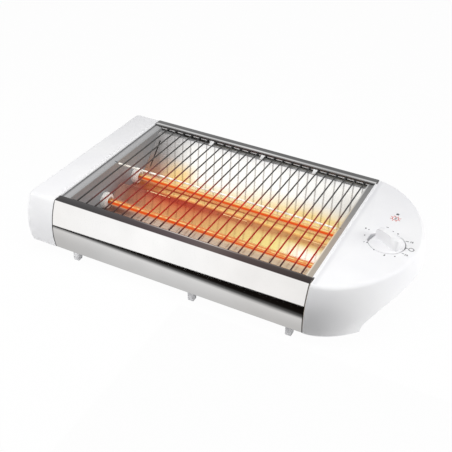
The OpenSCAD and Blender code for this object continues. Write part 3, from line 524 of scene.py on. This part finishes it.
def meshed(name, bm):
    """Turns a bmesh into an object of the scene."""
    mesh = bpy.data.meshes.new(name)
    bm.to_mesh(mesh)
    bm.free()
    return shown(name, mesh)


def settled(made):
    """The final mesh of an object, with its modifier or its text worked out."""
    bpy.context.view_layer.update()
    return bpy.data.meshes.new_from_object(made.evaluated_get(bpy.context.evaluated_depsgraph_get()))


def piece(name, bm, look, nodes, body="body", angle=32, wall=0.0, soft=None):
    """Turns a bmesh into a piece that rides on a body and stands for its nodes."""
    bmesh.ops.remove_doubles(bm, verts=bm.verts, dist=0.0005 * MM)
    bmesh.ops.recalc_face_normals(bm, faces=bm.faces)
    if wall:
        bmesh.ops.solidify(bm, geom=bm.faces[:], thickness=wall)
    if soft:
        soften(bm, [e for e in bm.edges if all(soft[0](v.co) for v in e.verts)], soft[1])
    made = meshed(name, bm)
    made.data.shade_smooth()
    made.data.set_sharp_from_angle(angle=radians(angle))
    made.data.materials.append(FINISH[look])
    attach(made, body)
    if nodes:
        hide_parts(*nodes)
    return made


def dress(look, *names):
    """Gives a finish to nodes of the frame that stay as they are."""
    for name in names:
        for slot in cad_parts[name].material_slots:
            slot.material = FINISH[look]


def setback(z):
    """How far the bulging wall has drawn in at a height, in millimetres."""
    sizes = bpy.context.scene.toaster_sizes
    radius, crown = sizes.bulge / MM, sizes.crown / MM
    return radius - sqrt(radius ** 2 - (z - crown) ** 2)


def on_top_of(joint):
    """A test for points on the caps' flat top, right at a joint."""
    sizes = bpy.context.scene.toaster_sizes
    return lambda v: abs(v.x - joint) < TINY and v.z > sizes.top - TINY


class TOASTER_OT_left_cap(bpy.types.Operator):
    """Moulds the plain left cap: straight end, tight corners, bulging front and rear, rounded top edge"""

    bl_idname = "toaster.left_cap"
    bl_label = "Left cap"

    def execute(self, context):
        sizes = context.scene.toaster_sizes
        joint, edge = sizes.joint_l / MM, sizes.edge / MM

        def outline(z, inset):
            """The cap's plan at a height, open at the joint."""
            end = joint - (sizes.cap_l / MM - LEFT_LEAN * setback(z) - inset)
            half = sizes.half / MM - setback(z) - inset
            r = max(0.5, sizes.cap_corner / MM - inset)
            bend = [k * pi / 16 for k in range(9)]
            front = [(end + r - r * sin(a), r - half - r * cos(a), z) for a in bend]
            return [(joint, -half, z)] + front + [(x, -y, z) for x, y, z in reversed(front)] + [(joint, half, z)]

        under, brim = sizes.under / MM, sizes.top / MM - edge
        levels = [(under + (brim - under) * k / WALL_ROWS, 0) for k in range(WALL_ROWS + 1)]
        levels += [(brim + edge * sin(a), edge - edge * cos(a)) for a in EDGE_TURNS]
        bm = bmesh.new()
        bm.faces.new(skin(bm, [outline(*level) for level in levels])[-1])
        piece("left_cap_moulding", bm, "white", ["left_end_cap"], wall=sizes.wall,
              soft=(on_top_of(sizes.joint_l), 1.3))
        return {"FINISHED"}


class TOASTER_OT_control_end(bpy.types.Operator):
    """Moulds the rounded control end with its finger arch, knob well and lens hole"""

    bl_idname = "toaster.control_end"
    bl_label = "Control end"

    def execute(self, context):
        sizes = context.scene.toaster_sizes
        joint, edge, half = sizes.joint_r / MM, sizes.edge / MM, sizes.half / MM
        under, top = sizes.under / MM, sizes.top / MM
        arch, arch_h = sizes.arch / MM, sizes.arch_h / MM

        def spot(t, z, inset):
            """A point of the wall, by its turn round the end and its height."""
            drawn = setback(z)
            x = joint + (sizes.end_l / MM - END_LEAN * drawn - inset) * max(cos(t), 0) ** END_POWER
            y = (half - drawn - inset) * abs(sin(t)) ** END_POWER
            return (x, y if t > 0 else -y, z)

        def foot(t):
            """Where the wall starts: at the underside, or on the finger arch, found by trial as the wall leans."""
            z = under
            for _ in range(12):
                y = abs(spot(t, z, 0)[1])
                if y >= arch:
                    return under
                z = under + arch_h * sin(acos((y / arch) ** ARCH_POWER)) ** (1 / ARCH_POWER)
            return z

        # Steps round the end, closer together where the arch rises.
        turns = sorted({k * 1.5 for k in range(61)} | {44 + k * 0.4 for k in range(26)})
        turns = [radians(a) for a in [-a for a in reversed(turns)] + turns[1:]]
        brim = top - edge
        feet = [foot(t) for t in turns]
        rows = [[spot(t, z + (brim - z) * k / WALL_ROWS, 0) for t, z in zip(turns, feet)] for k in range(WALL_ROWS + 1)]
        rows += [[spot(t, brim + edge * sin(a), edge - edge * cos(a)) for t in turns] for a in EDGE_TURNS]
        bm = bmesh.new()
        self.top(bm, skin(bm, rows)[-1], sizes)
        made = piece("control_end_moulding", bm, "white", ["control_end_cap"], wall=sizes.wall,
                     soft=(on_top_of(sizes.joint_r), 1.0))
        self.bore(made)
        # A bead along the joint, between the flanges, which laps over the inner plate.
        lap, back, reach, sunk, proud = 1.95, 1.1, 97.3, 1.2, 0.3
        bm = bmesh.new()
        block(bm, Vector((joint - lap, -reach, top - sunk)) * MM, Vector((joint + back, reach, top + proud)) * MM)
        soften(bm, [e for e in bm.edges if all(v.co.z > sizes.top for v in e.verts)], 0.6)
        piece("control_end_bead", bm, "white", ())
        return {"FINISHED"}

    def top(self, bm, row, sizes):
        """Fills the flat top round the well and the lens hole, and lines both."""
        top, well, fillet = sizes.top / MM, sizes.well / MM, sizes.rim / MM
        knob = sizes.knob_x / MM, sizes.knob_y / MM
        lens = [(a + b) / 2 / MM for a, b in zip(*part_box("pilot_lens"))][:2]
        # The knob stands a little behind the well's middle, so that the groove is widest at the front right.
        middle = knob[0] + 0.3, knob[1] - 0.42
        bend = [k * pi / 10 for k in range(6)]
        round_knob = [(middle, well + fillet - fillet * sin(a), top - fillet + fillet * cos(a)) for a in bend]
        round_knob += [(middle, well, WELL_FLOOR), (knob, 6, WELL_FLOOR)]
        round_lens = [(lens, 1.9, top), (lens, 1.65, top - 0.25), (lens, 1.65, top - 2)]
        edges_of = lambda row: {e for v in row for e in v.link_edges if e.other_vert(v) in row}
        rim = edges_of(row) | {bm.edges.new((row[0], row[-1]))}
        for rings, n in ((round_knob, 72), (round_lens, 20)):
            turns = [2 * pi * k / n for k in range(n)]
            circles = [[(x + r * cos(a), y + r * sin(a), z) for a in turns] for (x, y), r, z in rings]
            rim |= edges_of(skin(bm, circles, True)[0])
        bmesh.ops.triangle_fill(bm, edges=list(rim), use_beauty=True, use_dissolve=False, normal=(0, 0, 1))

    def bore(self, made):
        """Cuts the round hole for the cord's bush through the rear wall."""
        low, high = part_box("cord_gland")
        radius, depth = 5.1 * MM, 40 * MM
        place = Matrix.Translation((low + high) / 2) @ Matrix.Rotation(pi / 2, 4, "X")
        bm = bmesh.new()
        bmesh.ops.create_cone(bm, cap_ends=True, segments=40, radius1=radius, radius2=radius, depth=depth, matrix=place)
        cutter = meshed("bore", bm)
        cut = made.modifiers.new("bore", "BOOLEAN")
        cut.object, cut.solver, cut.operation = cutter, "EXACT", "DIFFERENCE"
        result = settled(made)
        made.modifiers.clear()
        made.data = result
        result.set_sharp_from_angle(angle=radians(32))
        bpy.data.objects.remove(cutter)


class TOASTER_OT_panels(bpy.types.Operator):
    """Bends the polished front and rear walls with their flanges, lips and the rear slot of the tray"""

    bl_idname = "toaster.panels"
    bl_label = "Steel walls"

    def execute(self, context):
        sizes = context.scene.toaster_sizes
        under, top, half, lip = sizes.under / MM, sizes.top / MM, sizes.half / MM, LIP_Y / MM
        slot_low, slot_high = TRAY_LOW.z / MM - PLAY, TRAY_HIGH.z / MM + PLAY
        steps = sorted({under + (top - under) * k / 56 for k in range(57)} | {slot_low, slot_high})
        wall = [(half - setback(z), z) for z in steps]
        section = [(wall[0][0] - UNDER_W, under)] + wall + [(lip, top), (lip, top - LIP_H)]
        folds = {(round(y, 2), round(z, 2)) for y, z in (wall[0], wall[-1], section[-2])}
        at_fold = lambda v: (round(abs(v.co.y) / MM, 2), round(v.co.z / MM, 2)) in folds
        lengthwise = lambda e: abs(e.verts[0].co.x - e.verts[1].co.x) > MM
        for name, side in (("front_panel", -1), ("rear_panel", 1)):
            stations = [WALL_LOW.x / MM, WALL_HIGH.x / MM]
            if side > 0:
                stations[1:1] = [TRAY_LOW.x / MM - PLAY, TRAY_HIGH.x / MM + PLAY]
            bm = bmesh.new()
            skin(bm, [[(x, side * y, z) for y, z in section] for x in stations])
            if side > 0:
                in_slot = lambda c: stations[1] < c.x / MM < stations[2] and slot_low < c.z / MM < slot_high
                slot = [f for f in bm.faces if in_slot(f.calc_center_median())]
                bmesh.ops.delete(bm, geom=slot, context="FACES")
            soften(bm, [e for e in bm.edges if all(map(at_fold, e.verts)) and lengthwise(e)], 0.9, 4)
            piece(name.replace("panel", "wall_sheet"), bm, "steel", [name], wall=sizes.sheet, angle=40)
        return {"FINISHED"}


class TOASTER_OT_grill(bpy.types.Operator):
    """Draws the grill wires with rounded tips, and the rod under them"""

    bl_idname = "toaster.grill"
    bl_label = "Grill"

    def execute(self, context):
        sizes = context.scene.toaster_sizes
        z, r = (WIRE_LOW.z + WIRE_HIGH.z) / 2 / MM, sizes.wire / MM
        start, end = WIRE_LOW.y / MM, WIRE_HIGH.y / MM
        rings = [(start, 0.5), (start + 0.4, 0.87), (start + 1.1, 1), (end - 1.1, 1), (end - 0.4, 0.87), (end, 0.5)]
        turns = [k * pi / 7 for k in range(14)]
        bm = bmesh.new()
        for n in range(sizes.wires):
            x = (WIRE_X + n * sizes.pitch) / MM
            rows = skin(bm, [[(x + f * r * cos(a), y, z + f * r * sin(a)) for a in turns] for y, f in rings], True)
            for row in (rows[0], rows[-1]):
                bm.faces.new(row)
        piece("grill_wire_set", bm, "wire", ["grill_wires"], angle=60)
        # The bright rod under the wires stops about 2 mm short of both plates.
        low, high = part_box("grill_rod")
        y, z, r = (low.y + high.y) / 2 / MM, (low.z + high.z) / 2 / MM, (high.z - low.z) / 2 / MM
        bright = (-154.2, 0.3), (-154.0, 0.8), (-153.4, 1), (107.6, 1), (108.2, 0.8), (108.4, 0.3)
        bm = bmesh.new()
        lathe(bm, [(x, f * r) for x, f in bright], y, z)
        piece("grill_cross_rod", bm, "rod", ["grill_rod"], angle=60)
        # Two stubs in the plates' grey, as painted shade on the rod: one hidden under the left plate's flange, one
        # through the right plate's notch.
        bm = bmesh.new()
        for x0, x1 in ((low.x / MM, -161.4), (108.0, high.x / MM)):
            lathe(bm, [(x, f * r) for x, f in ((x0, 0.3), (x0, 0.95), (x1, 0.95), (x1, 0.3))], y, z)
        piece("grill_rod_ends", bm, "sheet", (), angle=60)
        return {"FINISHED"}


class TOASTER_OT_heaters(bpy.types.Operator):
    """Makes both quartz tubes, their close-wound coils and the four ceramic ends"""

    bl_idname = "toaster.heaters"
    bl_label = "Heating tubes"

    def execute(self, context):
        sizes = context.scene.toaster_sizes
        for side in ("front", "rear"):
            low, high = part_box(side + "_quartz_tube")
            y = (low.y + high.y) / 2 / MM
            self.tube(side, y, low.x / MM, high.x / MM, sizes.tube / MM)
            self.coil(side, y, sizes.turns)
            for end, way in (("left", 1), ("right", -1)):
                self.ceramic("ceramic_%s_%s" % (side, end), y, way)
        return {"FINISHED"}

    def tube(self, side, y, start, end, r, rim=0.3):
        """One glass tube with a wall of 1 mm and rounded rims."""
        profile = [(start, r - 1), (start, r - rim), (start + rim, r), (end - rim, r), (end, r - rim), (end, r - 1)]
        bm = bmesh.new()
        lathe(bm, profile, y, TUBE_Z / MM)
        piece(side + "_tube_glass", bm, "quartz", [side + "_quartz_tube"], angle=50)

    def coil(self, side, y, n):
        """One coil, wound close from a hexagon of wire."""
        low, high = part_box(side + "_heating_coil")
        wire, radius, z = 0.45, 2.7, TUBE_Z / MM
        start, reach, steps = low.x / MM + wire, (high.x - low.x) / MM - 2 * wire, 12 * n
        bm = bmesh.new()
        turns = [k * pi / 3 for k in range(6)]
        row = chain(bm, [(start + wire * sin(a), y + radius + wire * cos(a), z) for a in turns], True)
        edges = list({e for v in row for e in v.link_edges})
        bmesh.ops.spin(bm, geom=row + edges, cent=Vector((0, y, z)) * MM, axis=(1, 0, 0), angle=2 * pi * n,
                       dvec=Vector((reach / steps * MM, 0, 0)), steps=steps)
        bmesh.ops.holes_fill(bm, edges=[e for e in bm.edges if e.is_boundary], sides=8)
        piece(side + "_coil_winding", bm, "coil", [side + "_heating_coil"], angle=60)

    def ceramic(self, name, y, way):
        """One ceramic end: a collar round the glass, a disc and a neck."""
        low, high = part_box(name)
        face, back = (high.x, low.x) if way > 0 else (low.x, high.x)
        deep = abs(face - back) / MM
        profile = [(3, 5.1), (0.5, 5.1), (0.1, 5.4), (0.3, 5.8), (1.0, 6.0), (1.1, 7.6), (1.5, 8.7), (2.4, 9.2),
                   (7.2, 9.2), (8, 8.6), (8, 6.4), (deep, 6.4), (deep, 2.4), (3, 2.4)]
        bm = bmesh.new()
        lathe(bm, [(face / MM - way * d, r) for d, r in profile], y, TUBE_Z / MM)
        piece(name + "_turned", bm, "ceramic", [name], angle=40)


class TOASTER_OT_reflector(bpy.types.Operator):
    """Finishes the reflector and inner plates and adds the reflector's rim, tabs and louvres"""

    bl_idname = "toaster.reflector"
    bl_label = "Reflector"

    def execute(self, context):
        dress("reflector", "reflector")
        dress("sheet", "left_inner_plate", "right_inner_plate")
        low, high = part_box("reflector")
        left, right, rear, top, gap = low.x / MM, high.x / MM, high.y / MM, high.z / MM, 0.2
        behind = lambda *bend: [(rear + d, top + h) for d, h in bend]
        # A narrow flange along its rear edge, and three hold-down tabs over it.
        edge = behind((-0.4, -0.4), (0.2, 0.1), (4.6, 0.1), (5.0, -0.5))
        self.strips("reflector_rim", "rim", [(left + right) / 2], edge, right - left - 2 * gap)
        self.strips("reflector_tabs", "tab", TABS, behind((0.6, 0.4), (3.4, 0.9), (6.6, 3.4)), 4.8, 0.5)
        # A louvre leans over each crumb slot and leaves it open to the rear. Its lip catches the glow.
        self.strips("crumb_slot_louvres", "reflector", CRUMB_SLOTS, [(-1.6, 34.95), (-1.2, 35.2), (0.8, 36.1)], 30)
        self.strips("crumb_slot_lips", "louvre", CRUMB_SLOTS, [(0.7, 36.1), (1.5, 36.4)], 29.2)
        return {"FINISHED"}

    def strips(self, name, look, middles, bend, run, thick=0.4):
        """One piece of bent strips of the reflector's sheet, drawn out along X."""
        bm = bmesh.new()
        for x in middles:
            skin(bm, [[(end, y, z) for y, z in bend] for end in (x - run / 2, x + run / 2)])
        piece(name, bm, look, (), wall=thick * MM)


class TOASTER_OT_knob(bpy.types.Operator):
    """Moulds the timer knob: a disc just below the top, with a rounded bar across it"""

    bl_idname = "toaster.knob"
    bl_label = "Timer knob"

    def execute(self, context):
        sizes = context.scene.toaster_sizes
        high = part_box("knob")[1]
        x, y, r, disc = sizes.knob_x / MM, sizes.knob_y / MM, sizes.disc / MM, (sizes.top - sizes.drop) / MM
        wall, foot = 2, WELL_FLOOR + 0.7
        bm = bmesh.new()
        profile = [(r - wall, foot), (r, foot), (r, disc - 0.3), (r - 0.09, disc - 0.09), (r - 0.3, disc), (0.6, disc),
                   (0.6, disc - wall), (r - wall, disc - wall)]
        turned(bm, [(x + out, y, z) for out, z in profile], (x, y, 0), (0, 0, 1))
        # A shallow hollow in the rim, behind the bar's tail, for a finger.
        aim, reach = Vector((cos(radians(164)), sin(radians(164)))), radians(36)
        for v in bm.verts:
            out = v.co.xy / MM - Vector((x, y))
            if out.length > 16:
                swing = min(out.angle(aim) / reach, 1)
                v.co.xy -= out.normalized() * sizes.hollow * max(cos(swing * pi / 2), 0) ** 0.7
        # The bar swells towards its square nose.
        tip, flat, corner = 14.2, 2.1, 2.2
        bend = [(k + 0.5) * pi / 16 - pi / 2 for k in range(16)]
        nose = [(tip + corner * cos(a), (flat if a > 0 else -flat) + corner * sin(a)) for a in bend]
        waist = [(9.5, 4.2), (5.5, 4.0), (2.5, 3.6), (-1, 3.25), (-6, 3.2), (-8.5, 3.2), (-11, 3.2)]
        tail = [(-13.2 + 1.4 * cos(a), 3.3 * sin(a)) for a in (k * pi / 8 + pi / 2 for k in range(9))]
        plan = nose + waist + tail + [(s, -w) for s, w in reversed(waist)]
        turn = Matrix.Translation((x, y, 0)) @ Matrix.Rotation(sizes.pointer, 4, "Z")
        # Its top is a little narrower and falls away towards the tail.
        fall, begin, run = 3, -6, 8.6
        crest = lambda s: high.z / MM - fall * (max(begin - s, 0) / run) ** 2
        base, lid = skin(bm, [[turn @ Vector((s, w, disc - 1)) for s, w in plan],
                              [turn @ Vector((s * 0.985, w * 0.86, crest(s))) for s, w in plan]], True)
        bm.faces.new(base)
        soften(bm, bm.faces.new(lid).edges, 0.9)
        piece("timer_knob", bm, "white", ["knob"], body="dial", angle=40)
        return {"FINISHED"}


class TOASTER_OT_dial_print(bpy.types.Operator):
    """Prints the dial's numbers, dots and dashes, and the sign beside the lamp"""

    bl_idname = "toaster.dial_print"
    bl_label = "Dial print"

    def execute(self, context):
        sizes = context.scene.toaster_sizes
        joint, z = sizes.joint_r / MM, sizes.top / MM + 0.05
        at = lambda x, y: Matrix.Translation(Vector((joint + x, y, z)) * MM)
        ink = bmesh.new()
        for x, y, r in ((25.2, -18.0, 0.75), (20.0, 5.3, 0.75), (19.2, -6.6, 0.75), (34.9, -26.4, 0.7),
                        (56.3, -27.0, 0.8), (63.1, -7.8, 0.8), (48.4, 12.7, 0.95)):
            bmesh.ops.create_circle(ink, cap_ends=True, segments=16, radius=r * MM, matrix=at(x, y))
        for x, y, long, turn in ((62.0, -18.3, 2.2, -15), (35.6, 19.0, 2.6, 0), (42.8, 14.5, 1.4, -30),
                                 (60.2, 4.2, 3.4, 8)):
            self.dash(ink, at(x, y), radians(turn), long, 0.45)
        for text, x, y in (("12", 65.4, -19.5), ("3", 46.7, -30.4), ("6", 22.4, -18.9), ("9", 16.4, 5.7),
                           ("15", 64.6, 4.8)):
            self.write(ink, text, at(x, y))
        self.ring(ink, at(67.6, -7.9) @ Matrix.Diagonal((1.35, 0.95, 1, 1)), 1.6, 2.2)
        piece("dial_scale", ink, "ink", ())
        sign, lamp = bmesh.new(), at(38.1, 39.3)
        self.ring(sign, lamp, 2.9, 3.7)
        for k in range(8):
            ray = lamp @ Matrix.Rotation(k * pi / 4 + pi / 8, 4, "Z") @ Matrix.Translation((4.8 * MM, 0, 0))
            self.dash(sign, ray, 0, 2.0)
        piece("lamp_sign", sign, "sign", ())
        glyph = bmesh.new()
        for x, y, long, turn in ((0.3, 1.5, 2.2, 0), (0.0, 0.0, 3.6, 55), (0.3, -1.5, 2.2, 0)):
            self.dash(glyph, lamp @ Matrix.Translation((x * MM, y * MM, 0)), radians(turn), long)
        piece("lamp_sign_stroke", glyph, "ink", ())
        dress("lens", "pilot_lens")
        return {"FINISHED"}

    def dash(self, bm, place, turn, long, half=0.42):
        """Adds a flat dash."""
        shape = place @ Matrix.Rotation(turn, 4, "Z") @ Matrix.Diagonal((long / 2 * MM, half * MM, 1, 1))
        bmesh.ops.create_grid(bm, x_segments=1, y_segments=1, size=1, matrix=shape)

    def ring(self, bm, place, inner, outer):
        """Adds a flat ring."""
        row = [bm.verts.new(place @ Vector((r * MM, 0, 0))) for r in (inner, outer)]
        bmesh.ops.spin(bm, geom=row + [bm.edges.new(row)], cent=place.to_translation(), axis=(0, 0, 1), angle=2 * pi,
                       steps=32, use_merge=True, space=Matrix())

    def write(self, bm, text, place):
        """Adds one number as flat mesh."""
        curve = bpy.data.curves.new("number", "FONT")
        curve.body, curve.size, curve.offset = text, 3.6 * MM, 0.16 * MM
        curve.align_x = curve.align_y = "CENTER"
        words = shown("number", curve)
        mesh = settled(words)
        mesh.transform(place)
        bm.from_mesh(mesh)
        bpy.data.objects.remove(words)
        bpy.data.meshes.remove(mesh)


class TOASTER_OT_feet(bpy.types.Operator):
    """Moulds the six small feet, tapered and with rounded edges"""

    bl_idname = "toaster.feet"
    bl_label = "Feet"

    def execute(self, context):
        taper = 0.86
        for name in sorted(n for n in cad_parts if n.startswith("foot_")):
            low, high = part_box(name)
            bm = bmesh.new()
            block(bm, low, high)
            sole = [v for v in bm.verts if v.co.z < low.z + MM]
            middle = Vector(((low.x + high.x) / 2, (low.y + high.y) / 2, low.z))
            bmesh.ops.scale(bm, vec=(taper, taper, 1), space=Matrix.Translation(-middle), verts=sole)
            soften(bm, bm.edges, 0.7)
            piece(name + "_moulding", bm, "foot", [name], angle=40)
        return {"FINISHED"}


class TOASTER_OT_works(bpy.types.Operator):
    """Finishes the pieces of the frame that stay as they are: base, tray, timer, leads and fixings"""

    bl_idname = "toaster.works"
    bl_label = "Works and base"

    def execute(self, context):
        pins = [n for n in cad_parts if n.startswith("terminal_") and n != "terminal_block"]
        dress("white", "recess_cover")
        dress("base", "base_plate", "tray_runner_left", "tray_runner_right", "crumb_tray")
        dress("plated", *pins, "tube_link", "timer_shaft", "timer_plate", "timer_bell", "timer_screws",
              "left_cap_screws", "control_cap_screws", "plate_screws")
        dress("timer", "timer_case", "timer_cam", "terminal_block", "cord_gland")
        dress("brass", "timer_contacts")
        dress("lamp", "pilot_lamp")
        dress("sleeve", "lead_live", "lead_heater", "lead_return", "lead_lamp")
        return {"FINISHED"}


class TOASTER_OT_stage(bpy.types.Operator):
    """Sets the pale floor, the soft lamps, the cards that the steel mirrors, and the camera"""

    bl_idname = "toaster.stage"
    bl_label = "Stage"

    def execute(self, context):
        scene = context.scene
        scene.view_settings.view_transform = "Standard"
        self.world(scene)
        self.floor()
        self.card()
        self.cloth()
        self.lamp("top_softbox", (0.03, -0.15, 0.6), (0.03, -0.1, 0.05), 0.5, 0.3, 1.7)
        self.lamp("left_softbox", (-0.6, -0.5, 0.4), (-0.18, -0.1, 0.04), 0.45, 0.45, 2.0)
        self.lamp("right_softbox", (0.98, 0.12, 0.36), (0.19, -0.02, 0.04), 0.6, 0.5, 4.5)
        self.camera(scene)
        return {"FINISHED"}

    def world(self, scene):
        """White to the eye and to metal, a plain level of light to the rest."""
        scene.world = bpy.data.worlds.new("studio")
        studio = Nodes(scene.world)
        light = studio.add("Background", {"Color": WHITE, "Strength": studio.level(studio.seen(1), 0.36, 1)})
        studio.add("OutputWorld", {"Surface": light.outputs[0]})

    def floor(self):
        """A wide matt floor that keeps the toaster's shadow."""
        made = Finish("matt_paper", Roughness=0.9, Specular_IOR_Level=0.0, Emission_Color=WHITE)
        white = made.ramp(made.noise(250, 2.0), (0.3, "f2f2f2"), (0.7, "f6f6f6"))
        seen = made.seen(0.97)
        bm = bmesh.new()
        bmesh.ops.create_grid(bm, x_segments=4, y_segments=4, size=6)
        self.show("paper_floor", bm, made.end(Base_Color=made.mix(seen, white, BLACK), Emission_Strength=seen))

    def card(self):
        """A dark card on the floor before the front wall, which only the mirror sees."""
        made = Finish("matt_card", Roughness=0.9, Base_Color=BLACK, Specular_IOR_Level=0.0, Emission_Strength=1.0)
        reach = made.add("Attribute", attribute_name="reach").outputs["Fac"]
        # Painted shade: inside its dark band the card is grey, darker towards the toaster, for the shaded floor close
        # to it that the wall mirrors.
        tone = made.ramp(reach, (0.0, "0a0808"), (0.4, "14110f"), (0.49, "5c5c5c"), (0.57, "dadada"), (0.75, "cacaca"),
                         (1.0, "bababa"))
        lines = [[(-260, -177), (-175, -185), (91, -214), (240, -227)],
                 [(-260, -175.5), (-170, -172.8), (106, -149), (240, -138)],
                 [(-260, -95), (-170, -95), (106, -95), (240, -95)]]
        bm = bmesh.new()
        layer = bm.verts.layers.float.new("reach")
        for n, row in enumerate(skin(bm, [[(x, y, 0.6) for x, y in line] for line in lines])):
            for v in row:
                v[layer] = n / 2
        card = self.show("mirror_card", bm, made.end(Emission_Color=tone))
        card.visible_camera = card.visible_diffuse = card.visible_shadow = card.visible_transmission = False

    def cloth(self):
        """A dark cloth before the control end, which only takes bounced light away from its front."""
        made = Finish("dark_cloth", Roughness=1.0, Specular_IOR_Level=0.0)
        tone = made.ramp(made.noise(2, 1.0), (0.3, "7c7c7c"), (0.7, "8a8a8a"))
        place = Matrix.Translation((0.16, -0.29, 0.0004)) @ Matrix.Diagonal((0.17, 0.17, 1, 1))
        bm = bmesh.new()
        bmesh.ops.create_grid(bm, x_segments=2, y_segments=2, size=1, matrix=place)
        cloth = self.show("bounce_cloth", bm, made.end(Base_Color=tone))
        cloth.visible_camera = cloth.visible_glossy = cloth.visible_shadow = cloth.visible_transmission = False

    def show(self, name, bm, material):
        """Adds one object of the stage."""
        made = meshed(name, bm)
        made.data.materials.append(material)
        return made

    def lamp(self, name, place, aim, wide, high, watts):
        """Adds one soft lamp that faces a point."""
        light = bpy.data.lights.new(name, "AREA")
        light.shape, light.size, light.size_y, light.energy = "RECTANGLE", wide, high, watts
        made = shown(name, light)
        made.location = place
        made.rotation_euler = (Vector(aim) - Vector(place)).to_track_quat("-Z", "Y").to_euler()
        made.visible_glossy = False

    def camera(self, scene):
        """Stands the camera where the photograph was taken from."""
        turn, lift, roll = radians(24.314), radians(33.879), radians(3.33)
        pixels, focal, sensor = 452, 784.6, 36
        back = Vector((sin(turn) * cos(lift), -cos(turn) * cos(lift), sin(lift)))
        right = Vector((cos(turn), sin(turn), 0))
        up = back.cross(right)
        sideways, upright = right * cos(roll) + up * sin(roll), up * cos(roll) - right * sin(roll)
        lens = bpy.data.cameras.new("camera")
        lens.sensor_width, lens.lens, lens.clip_start = sensor, focal * sensor / pixels, 0.01
        lens.shift_x = -0.5 / pixels
        made = shown("camera", lens)
        stand = Matrix.Translation((0.28095, -0.6592, 0.5085))
        made.matrix_world = stand @ Matrix((sideways, upright, back)).transposed().to_4x4()
        scene.camera = made


class TOASTER_PT_sidebar(bpy.types.Panel):
    """Lists the toaster's pieces, sizes and colours"""

    bl_label = "Flat toaster"
    bl_space_type = "VIEW_3D"
    bl_region_type = "UI"
    bl_category = "Toaster"

    def draw(self, context):
        for maker in OPERATORS:
            self.layout.operator(maker.bl_idname)
        for group in (context.scene.toaster_sizes, context.scene.toaster_colours):
            box = self.layout.box()
            for key in group.__annotations__:
                box.prop(group, key)


OPERATORS = (TOASTER_OT_left_cap, TOASTER_OT_control_end, TOASTER_OT_panels, TOASTER_OT_grill, TOASTER_OT_heaters,
             TOASTER_OT_reflector, TOASTER_OT_knob, TOASTER_OT_dial_print, TOASTER_OT_feet, TOASTER_OT_works,
             TOASTER_OT_stage)
CLASSES = (ToasterSizes, ToasterColours) + OPERATORS + (TOASTER_PT_sidebar,)
FINISH = {}


def mix_finishes():
    """Makes every finish once, for the pieces to share."""
    hues = bpy.context.scene.toaster_colours
    FINISH.update(
        white=white_abs(), steel=polished_steel(), sheet=grey_sheet(), reflector=reflector_sheet(),
        wire=grill_steel(), quartz=lit_quartz(), coil=glowing_coil(),
        # Drawn bright steel: light, with short dull flecks, and a painted glow that keeps it light in shade.
        rod=plain_finish("bright_drawn_rod", "c8c4b8", "fffaf0", 4, 0.3, glow=0.4),
        # Small pressed tabs of the reflector's own sheet.
        tab=plain_finish("pressed_aluminium_tab", "dcdcdc", "f2f2f2", 3, 0.3, 0.5),
        # Louvres pressed from it, which catch the glow.
        louvre=plain_finish("pressed_louvre", "f0c080", "fbe2b0", 6, 0.4, glow=0.3),
        # The folded edge of the same sheet: mid grey to light grey.
        rim=plain_finish("folded_aluminium_edge", "8e8e8e", "b6b6b6", 6, 0.35, 0.2),
        # Unglazed steatite: chalk white with faint mottling, and a faint painted glow.
        ceramic=plain_finish("unglazed_steatite", "f0ece6", "fbf9f5", 3, 0.45, glow=0.12),
        # Tinplate of the base and tray: light grey with rolling clouds.
        base=plain_finish("tinplate", "a9abad", "c2c4c6", 14, 0.35, 0.7),
        # Zinc on small steel parts: bright grey, slightly uneven.
        plated=plain_finish("zinc_plated_steel", "9fa2a5", "c4c7ca", 2, 0.35, 0.9),
        # Polypropylene feet: off-white and dull.
        foot=plain_finish("moulded_polypropylene", "dedee0", "ececee", 5, 0.5),
        # Phenolic timer parts: dull cream with a fine mottle.
        timer=plain_finish("moulded_phenolic", "cfc8b4", "ddd7c6", 4, 0.55),
        # Rolled brass of the contacts.
        brass=plain_finish("rolled_brass", "b08a3c", "d2ac58", 3, 0.3, 1.0),
        # Smoked acrylic of the lens: dark grey, glossy.
        lens=plain_finish("smoked_acrylic", "58585c", "68686c", 1, 0.12),
        # Neon lamp's glass: warm and pale.
        lamp=plain_finish("lamp_glass", "e0a070", "f0c090", 2, 0.15),
        # Glass-fibre sleeve of the leads: off-white with a woven mottle.
        sleeve=plain_finish("glass_fibre_sleeve", "d8d2c4", "efeadf", 1.2, 0.7),
        # Pad-printed ink: grey or red with thin patches.
        ink=plain_finish("pad_print_grey", tuple(hues.ink), "77777b", 1.5, 0.5),
        sign=plain_finish("pad_print_red", tuple(hues.sign), "de8a84", 1.5, 0.5),
    )


def register():
    """Registers the classes and hangs the sizes and colours on the scene."""
    for cls in CLASSES:
        bpy.utils.register_class(cls)
    bpy.types.Scene.toaster_sizes = PointerProperty(type=ToasterSizes)
    bpy.types.Scene.toaster_colours = PointerProperty(type=ToasterColours)


def unregister():
    """Takes away what register added."""
    del bpy.types.Scene.toaster_sizes, bpy.types.Scene.toaster_colours
    for cls in reversed(CLASSES):
        bpy.utils.unregister_class(cls)


def main():
    """Builds the toaster in order."""
    register()
    mix_finishes()
    for maker in OPERATORS:
        group, name = maker.bl_idname.split(".")
        getattr(getattr(bpy.ops, group), name)()


if __name__ == "__main__":
    main()
